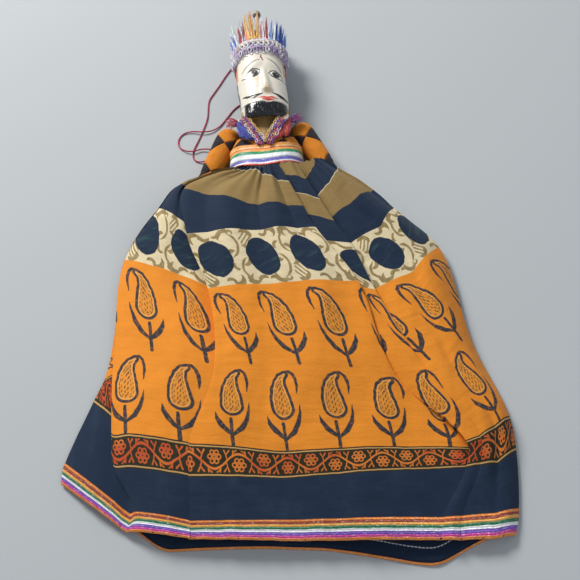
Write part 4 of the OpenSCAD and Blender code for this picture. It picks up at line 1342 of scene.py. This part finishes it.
def painted_head():
    """Cream enamel face with painted features, black hair and beard, bare carved wood at the neck."""
    p = Paint("painted_wood", rough=0.35, coat=0.35, coat_rough=0.12)
    u = p.x - FACE_X + (p.noise(6.0) - 0.5) * 0.5
    v = p.y + (p.noise(6.5, stretch=(1, 1, 2)) - 0.5) * 0.5
    front = (p.z - 33.0).ramp(-0.4, 0.4)
    p.coat_of((0.84, 0.79, 0.68))
    p.coat_of((0.8, 0.66, 0.46), p.noise(11.0, 3.0).ramp(0.52, 0.8) * 0.35)
    blush = stroke(u, v, (-15, 184.5), (-4, 183.5), 1.6, 1.2).ramp(2.0, -1.0)
    p.coat_of((0.85, 0.5, 0.2), blush * front * 0.3)
    shade = stroke(u, v, (0.3, 173), (0.6, 166), 1.4, 3.4).inside(1.2)
    p.coat_of((0.72, 0.47, 0.2), shade * front * 0.6)
    left_eye = eye(u, v, (-11.0, 191.6), 2.2, 8.2, 0.9)
    whites = left_eye.most(eye(u, v, (11.6, 189.6), -1.2, 7.0, 0.4))
    p.coat_of((0.88, 0.88, 0.86), whites * front)
    iris = disc(u, v, -10.3, 192.6, 4.1).least(disc(u, v, 12.0, 190.2, 3.7))
    p.coat_of((0.06, 0.055, 0.05), iris.inside(0.2) * whites * front)
    p.coat_of((0.004, 0.004, 0.004), iris.ramp(-1.4, -1.8) * front)
    glint = all_strokes(u, v, (
        ((-9.4, 193.6, 0.45), (-9.1, 193.4, 0.4)), ((12.9, 191.2, 0.45), (13.2, 191.0, 0.4))))
    p.coat_of((0.9, 0.9, 0.9), glint.inside(0.2) * front)
    lids = all_strokes(u, v, (
        ((-3.4, 193.8, 0.3), (-7, 189.2, 0.7), (-12, 187.4, 0.85), (-18, 187.2, 0.75), (-24, 188.6, 0.35)),
        ((-2.6, 194.2, 0.4), (-6.5, 197.2, 0.75), (-11, 197.9, 0.8), (-15.4, 195, 0.7), (-19.4, 189.6, 0.5)),
        ((5.0, 190.8, 0.3), (8, 187.2, 0.7), (12, 185.6, 0.85), (16, 185.2, 0.65), (21, 184.6, 0.35)),
        ((4.6, 190.8, 0.4), (8, 194.5, 0.7), (12, 195.4, 0.75), (16, 192.4, 0.65), (18.8, 187.2, 0.5))))
    p.coat_of((0.02, 0.018, 0.02), lids.inside(0.25) * front)
    brows = all_strokes(u, v, (
        ((-22.5, 196.5, 0.4), (-19, 201.6, 0.65), (-14, 205.6, 0.8), (-8.5, 208.6, 0.75),
         (-3.5, 209.8, 0.45)),
        ((4.6, 211.0, 0.45), (9, 208.6, 0.75), (13.5, 204.6, 0.8), (16.5, 200.4, 0.65), (18, 196.8, 0.4))))
    p.coat_of((0.13, 0.12, 0.12), brows.inside(0.3) * front * 0.9)
    mark = strokes(u, v, ((-1.5, 217, 0.5), (-1.9, 213, 0.75), (0.2, 208.5, 0.5)))
    p.coat_of((0.24, 0.02, 0.05), mark.inside(0.25) * front)
    nostrils = all_strokes(u, v, (
        ((-2.6, 170.9, 0.35), (-1.2, 169.9, 0.5)), ((2.4, 169.9, 0.5), (3.8, 170.7, 0.35))))
    p.coat_of((0.1, 0.06, 0.04), nostrils.inside(0.25) * front * 0.85)
    tache = all_strokes(u, v, (
        ((-25, 166.6, 0.5), (-20, 163.0, 1.5), (-13, 161.4, 2.1), (-7.5, 163.0, 1.2), (-4.5, 163.8, 0.5)),
        ((5.6, 163.8, 0.5), (9.0, 162.8, 1.2), (13.5, 160.4, 2.0), (18, 159.2, 1.6), (24.5, 161.4, 0.5))))
    p.coat_of((0.015, 0.014, 0.016), tache.inside(0.3) * front)
    lips = all_strokes(u, v, (
        ((-9, 158.7, 0.4), (-4, 158.6, 1.25), (0.3, 157.6, 1.0), (4.5, 158.2, 1.25), (9.6, 156.6, 0.4)),
        ((-5, 156.4, 0.6), (0.5, 155.0, 1.6), (6, 155.4, 0.6))))
    p.coat_of((0.62, 0.045, 0.03), lips.inside(0.3) * front)
    dip = (u - 0.8) * 0.28
    jaw = (dip * dip * dip * dip + 1.0).power(-1.0) * -1.7 - u * 0.05 + 154.0
    p.coat_of((0.3, 0.3, 0.3), ((v - jaw).abs() - 0.6).inside(0.3) * front)
    chin = (jaw - v - 0.4).ramp(-0.3, 0.3) * (p.z - 37.0).ramp(-0.4, 0.4)
    chin = chin * ((u + 1.6).abs() - 22.6).inside(0.4)
    p.coat_of((0.007, 0.008, 0.01), chin)
    # grey streaks over the black beard: painted sheen of its gloss, laid along the hair strands that the bump
    # carves
    beard_strands_and_sheen = p.noise(1.2, 2.0, stretch=(1, 0.12, 1)).ramp(0.5, 0.8)
    p.coat_of((0.16, 0.17, 0.19), chin * beard_strands_and_sheen * 0.45)
    wave = (p.noise(9.0) - 0.5) * 4.0
    hair = (p.z + wave - 32.0).inside(0.6) * (p.y - 146.0 + (HEAD_Z - p.z) * 0.3).ramp(-0.4, 0.4)
    p.coat_of((0.009, 0.009, 0.01), hair)
    patch = (p.z - 27.0).ramp(-1, 1) * (p.z - 42.0).ramp(1, -1) * ((p.y - 203.0).abs() - 9.5).ramp(1, -1)
    p.coat_of((0.75, 0.22, 0.03), patch * (p.x.abs() - 23.6).ramp(-0.5, 0.5))
    wood = (p.y - 151.0).inside(0.5) * (p.z - 37.4).inside(0.4)
    grain = p.noise(1.6, 4.0, stretch=(1, 0.12, 1))
    p.coat_of((0.46, 0.29, 0.1), wood)
    p.coat_of((0.26, 0.14, 0.045), wood * grain.ramp(0.45, 0.7) * 0.7)
    chip = p.noise(2.6, 4.0).ramp(0.7, 0.76)
    p.coat_of((0.45, 0.3, 0.14), chip * 0.35)
    rough = p.noise(8.0) * 0.12 + 0.26 + wood * 0.3 - chin * 0.2
    height = p.noise(3.0, 3.0) * 0.8 + grain * wood * 1.2 - lids.inside(0.25) * 0.3 + beard_strands_and_sheen * chin * 0.6
    return p.finish(height, 0.25, rough=rough)


def make_head(material):
    keys = [r[0] for r in HEAD_RINGS]
    ys = np.concatenate([np.arange(104, 144, 2.5), np.arange(144, 150, 1.0), np.arange(150, 214, 0.8),
                         np.arange(214, 240.1, 2.6)])
    shape = curve_through(keys, [r[1:] for r in HEAD_RINGS], ys)
    degrees = np.arange(0, 360, 2.5)[::-1]
    rows = []
    for y, (w, d, q, lean, middle) in zip(ys, shape):
        x, z = oval(w, d, q, degrees, z=middle)
        rows.append(np.stack([x, y + lean * (z - middle), z], axis=1))
    grid = np.array(rows)
    face = smoothstep(0.55, 0.85, (grid[..., 2] - HEAD_Z) / 23) * smoothstep(136, 139, grid[..., 1])
    grid[..., 2] += carve(grid[..., 0], grid[..., 1]) * face
    grid[..., 2] = np.maximum(grid[..., 2], 0.1)
    place = grid.copy()
    grid[..., 0] += (2.2 * smoothstep(200, 160, ys) * smoothstep(146, 152, ys))[:, None]
    piece = closed_loft("carved_head", grid, [material], place, subdivide=1)
    fit(piece, "carved_wood", "bust", "head_block")


# ---------------------------------------------------------------- crown

def band_cloth():
    p = cloth("crown_cloth")
    p.coat_of((0.34, 0.29, 0.38))
    p.coat_of((0.72, 0.69, 0.76), p.noise(4.0, 3.0).ramp(0.35, 0.6) * 0.8)
    return cloth_finish(p)


def make_crown_band(material):
    rings = ((214, 27.6, 23.9, 0.9), (217, 28.3, 24.0, 0.9), (228, 28.6, 24.0, 0.91), (238, 28.2, 24.0, 0.92),
             (241, 27.4, 23.4, 0.92))
    inner = ((214, 26.2, 22.6, 0.9), (241, 24.5, 20.5, 0.92))
    degrees = np.arange(0, 360, 3.0)[::-1]
    ys = np.linspace(214, 241, 20)
    outside = oval_grid_at(rings, ys, degrees)
    quilt = 0.45 * np.cos(np.radians(degrees) * 24)[None, :] * np.sin(np.linspace(0, math.pi, 20))[:, None]
    outside = pushed_out(outside, HEAD_Z, quilt)
    outside[..., 2] = np.maximum(outside[..., 2], 0.2)
    outside[..., 1] += brow_arch(degrees[None, :], outside[..., 1])
    inside = oval_grid_at(inner, ys[::-1], degrees)
    inside[..., 1] += brow_arch(degrees[None, :], inside[..., 1])
    grid = np.concatenate([outside, inside])
    rows, cols, _ = grid.shape
    faces = grid_faces(rows, cols, wrap=True) + closing_faces(rows, cols)
    piece = add_mesh("crown_padded_band", grid.reshape(-1, 3), faces, [material], subdivide=1)
    fit(piece, "crown_cloth", "bust", "crown_band")


def oval_grid_at(rings, ys, degrees):
    """oval_grid about the head's axis."""
    grid = oval_grid(rings, ys, degrees)
    grid[..., 2] += HEAD_Z - NECK_Z
    return grid


def make_crown_cap(material):
    """Cloth gathered to the middle over the top of the head."""
    rings = ((241.3, 22.8, 20.8, 1), (246, 23.2, 21.2, 1), (253, 21.6, 19.6, 1), (260, 18.0, 16.0, 1),
             (265, 13.0, 11.0, 1), (267.8, 7.0, 6.0, 1), (268.2, 2.8, 2.8, 1))
    degrees = np.arange(0, 360, 3.0)[::-1]
    ys = np.concatenate([np.linspace(241.3, 264, 16), np.linspace(265, 268.2, 7)])
    grid = oval_grid_at(rings, ys, degrees)
    gather = 0.9 * np.cos(np.radians(degrees) * 15)[None, :] * smoothstep(243, 262, ys)[:, None]
    reach = np.linalg.norm(grid * (1, 0, 1) - (0, 0, HEAD_Z), axis=-1)
    grid = pushed_out(grid, HEAD_Z, gather * np.clip(reach / 12, 0.15, 1))
    piece = closed_loft("crown_gathered_cap", grid, [material], subdivide=1)
    fit(piece, "crown_cloth", "bust", "crown_cap")


def brow_arch(degree, y):
    """How much higher the crown sits over the brow than over the temples, fading out at its top."""
    rise = np.clip(np.sin(np.radians(degree)), 0, 1) ** 1.5
    return 6.5 * rise * np.clip((241 - y) / 27, 0, 1)


def crown_point(degree, y, grow):
    """A point on the crown band's outside, grow millimetres further out."""
    x, z = oval(28.4, 24.0, 0.91, np.array([degree]), grow, z=HEAD_Z)
    return np.array([x[0], y + brow_arch(degree, y), max(z[0], 0.6)])


TINSEL = ((0.05, 0.14, 0.62), (0.62, 0.66, 0.72), (0.4, 0.03, 0.06), (0.78, 0.5, 0.16), (0.75, 0.2, 0.35),
          (0.16, 0.36, 0.8), (0.85, 0.86, 0.88))


def tinsel_choice(degree, rng):
    """Colours follow each other round the crown in clumps, as the strands were tied on."""
    clumps = ((188, (0, 0, 6)), (160, (0, 0, 1)), (142, (0, 6, 1)), (118, (6, 1, 2)), (84, (3, 2, 3, 4)),
              (62, (4, 2, 6)), (30, (5, 0, 5, 6)), (0, (0, 5, 6)))
    for start, options in clumps:
        if degree >= start:
            return rng.choice(options) if degree <= 200 else rng.choice(range(7))
    return 0


def crown_height(degree):
    """How far the spikes reach at each angle: highest left of the middle of the front."""
    keys = (0, 25, 45, 60, 80, 95, 115, 130, 150, 180, 270, 360)
    return float(np.interp(degree % 360, keys, (267, 264, 268, 266, 275, 280, 280, 273, 267, 268, 272, 267)))


# The spikes' foot, how high their tips may reach, and how many there are.
FRINGE_FOOT_Y = 239.5
FRINGE_TOP_Y = 280.5
CLUMPS, STRANDS = 58, 7


def make_fringe():
    """Tinsel spikes in a ring, flaring outward and gathered into points, over a strip at their foot."""
    rng = random.Random(3)
    paths, radii, picks = [], [], []
    count = CLUMPS * STRANDS
    for i in range(count):
        degree = (i + 0.5) * 360 / count + rng.uniform(-0.5, 0.5)
        if i % STRANDS == 0:
            centre = (i + STRANDS / 2) * 360 / count
            height = rng.choice((-9, -4, -1, 0, 1.5))
            sway = rng.uniform(-2.4, 2.4)
            tone = tinsel_choice(centre % 360, rng)
        tip_y = min(crown_height(degree) + height + rng.uniform(-7, 1.0), FRINGE_TOP_Y)
        foot = crown_point(degree, FRINGE_FOOT_Y, -2.6 + rng.uniform(-0.6, 0.6))
        goal = crown_point(centre, FRINGE_FOOT_Y, -2.6)
        reach = min(max((tip_y - 240) / 40, 0.2), 1.0)
        out = goal * (1, 0, 1) - (0, 0, HEAD_Z)
        out /= np.linalg.norm(out)
        tip = foot * 0.35 + goal * 0.65 + out * (6.5 * reach + rng.uniform(-1.0, 1.0))
        tip += (sway + rng.uniform(-0.8, 0.8), tip_y - FRINGE_FOOT_Y, 0)
        tip[0] = min(max(tip[0], -33), 33)
        tip[2] = min(max(tip[2], 0.8), 50.0)
        bend = out * rng.uniform(-1.8, 0.4)
        path = bent(foot, tip, bend, 7)
        for q in path:
            q[2] = max(q[2], 0.7)
        paths.append(path)
        radii.append([0.7, 0.75, 0.7, 0.62, 0.5, 0.34, 0.1])
        picks.append(tone if rng.random() < 0.75 else tinsel_choice(degree % 360, rng))
    a = np.arange(0, 360, 4.0)
    ring = np.array([crown_point(d, 240.6, -1.9) for d in a])
    piece = bundle("crown_tinsel", paths, radii, picks, 4,
                   strand_palette("crown_tinsel_strands", TINSEL, 0.3, 0.45))
    foot = bundle("crown_tinsel_foot", [ring], [0.9], [1], 8,
                  strand_palette("crown_cord", TINSEL[1:3], 0.5, 0.2), closed=True)
    fit(piece, "tinsel", "bust", "crown_fringe")
    fit(foot, "tinsel", "bust")


BRAID_COLOURS = (
    (0.62, 0.5, 0.78), (0.93, 0.93, 0.95), (0.4, 0.25, 0.55), (0.9, 0.78, 0.5), (0.62, 0.25, 0.45))


def make_crown_braid(name, node, foot_y, head_y, colours, count, seed, zigzag):
    """A row of loops on two cords, arched over the brow from temple to temple."""
    rng = random.Random(seed)
    closed, picks = [], []
    for i in range(count):
        degree = 174 - 168 * (i + 0.5) / count
        for layer in range(2):
            half = 168 / count * (0.62 if zigzag else 0.5)
            lean = (half * 0.55 if layer else -half * 0.55) if zigzag else 0
            path = []
            for a in np.arange(0, 2 * math.pi, math.pi / 6):
                part = (math.sin(a) + 1) / 2
                y = foot_y + (head_y - foot_y) * part + (rng.uniform(-0.1, 0.1))
                d = degree + half * 0.8 * math.cos(a) * (1 - 0.35 * part) + lean * (part - 0.5) * 2
                path.append(crown_point(d, y + layer * 0.6, 1.1 + layer * 1.0 + 0.5 * math.sin(a * 2)))
            closed.append(path)
            picks.append(rng.choice(colours[layer]))
    loops = bundle(name, closed, [0.52] * len(closed), picks, 6,
                   strand_palette(name + "_loops", BRAID_COLOURS, 0.45, 0.12), closed=True)
    turns = np.linspace(176, 4, 70)
    cords, cord_picks = [], []
    for k, (y, lift) in enumerate(((head_y + 0.6, 1.2), (head_y - 0.9, 1.9))):
        twist = [crown_point(d, y + 0.35 * math.sin(i * 1.3 + k), lift + 0.35 * math.cos(i * 1.3 + k))
                 for i, d in enumerate(turns)]
        cords.append(twist)
        cord_picks.append(colours[2][k])
    cord = bundle(name + "_cords", cords, [0.75, 0.6], cord_picks, 8,
                  strand_palette(name + "_cord", BRAID_COLOURS, 0.45, 0.2))
    fit(loops, "braid", "bust", node)
    fit(cord, "braid", "bust")


BEAD_FOOT_Y, BEAD_Y, BEAD_R = 296.2, 300.5, 4.5


def make_knot(material):
    """Thread-wound stem and a painted bead, where the puppeteer's string is tied."""
    ys = np.concatenate([np.linspace(268.3, 296, 90), np.linspace(296.3, 304.95, 26)])
    rows = []
    for y in ys:
        if y < BEAD_FOOT_Y:
            winding = 0.28 * math.sin((y - 268) * 2 * math.pi / 1.3)
            radius = 2.3 + winding + 0.5 * math.exp(-((y - 269) / 2) ** 2)
        else:
            radius = math.sqrt(max(BEAD_R**2 - (y - BEAD_Y) ** 2, 0.25)) + 0.12 * math.sin((y - 296) * 4.2)
        a = np.arange(0, 2 * math.pi, math.pi / 14)[::-1]
        rows.append(np.stack([radius * np.cos(a), np.full_like(a, y), HEAD_Z + radius * np.sin(a)], axis=1))
    piece = closed_loft("crown_bead_and_stem", np.array(rows), [material])
    fit(piece, "tinsel", "bust", "crown_knot")


def knot_material():
    p = Paint("wound_thread", rough=0.5, metal=0.2)
    p.coat_of((0.5, 0.47, 0.44))
    p.coat_of((0.16, 0.12, 0.13), (p.y - BEAD_FOOT_Y).ramp(-0.1, 0.1))
    p.coat_of((0.7, 0.62, 0.4), ((p.y - BEAD_Y).abs() - 0.9).inside(0.2))
    p.shade(p.noise(2.0, 3.0) * 0.6 + 0.7)
    return p.finish((p.y * 4.8 + p.x).sin() * 0.5 + p.noise(1.0), 0.2)


# ---------------------------------------------------------------- assembly

bands = [stripe_cloth(), cream_cloth(), orange_cloth(), border_cloth(), plain_cloth()]
hem_ribbon = striped_ribbon("hem_ribbon", HEM_STRIPES)
patches = patchwork()
stuffing = cotton()
crown_fabric = band_cloth()
gold_braid = strand_palette("collar_braid_thread", COLLAR_COLOURS, 0.5, 0.15)

front = make_front_skirt(bands)
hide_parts("skirt_front", "skirt_yoke_front")
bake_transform(front)
make_front_ribbon(hem_ribbon)
make_skirt_back(bands[:4] + [back_lining()])
make_back_ribbon(hem_ribbon)

make_body_padding(stuffing)
make_blouse(patches)
make_sash(striped_ribbon("sash_ribbon_weave", SASH_STRIPES))
make_waist_cord(strand_palette("drawstring_cotton", ((0.7, 0.66, 0.56), (0.6, 0.56, 0.46)), 0.9, 0.0, 0.1))
make_arm(-1, "left", patches)
make_arm(1, "right", patches)

make_collar(-1, "collar_loops_left", "collar_braid_left", gold_braid, 11)
make_collar(1, "collar_loops_right", "collar_braid_right", gold_braid, 12)
make_tassel(-1, "blue_tassel", "tassel_blue",
            ((0.015, 0.03, 0.42), (0.03, 0.08, 0.6), (0.01, 0.015, 0.2)), 21)
make_tassel(1, "red_tassel", "tassel_red",
            ((0.62, 0.02, 0.02), (0.75, 0.1, 0.04), (0.4, 0.01, 0.03)), 22)
make_tuft(-1, "left_tuft", "shoulder_tuft_left",
          ((0.75, 0.06, 0.14), (0.85, 0.35, 0.42), (0.5, 0.02, 0.08)), 31)
make_tuft(1, "right_tuft", "shoulder_tuft_right",
          ((0.2, 0.04, 0.3), (0.4, 0.15, 0.45), (0.5, 0.05, 0.15)), 32)

make_head(painted_head())
make_crown_band(crown_fabric)
make_crown_cap(crown_fabric)
make_fringe()
make_crown_braid("crown_loops_lower", "crown_braid_lower", 212.8, 222.0,
                 ((1, 1, 0), (0, 1, 2), (2, 0)), 16, 41, False)
make_crown_braid("crown_loops_upper", "crown_braid_upper", 224.0, 233.4,
                 ((1, 1, 3), (1, 0), (1, 3)), 18, 42, True)
make_knot(knot_material())
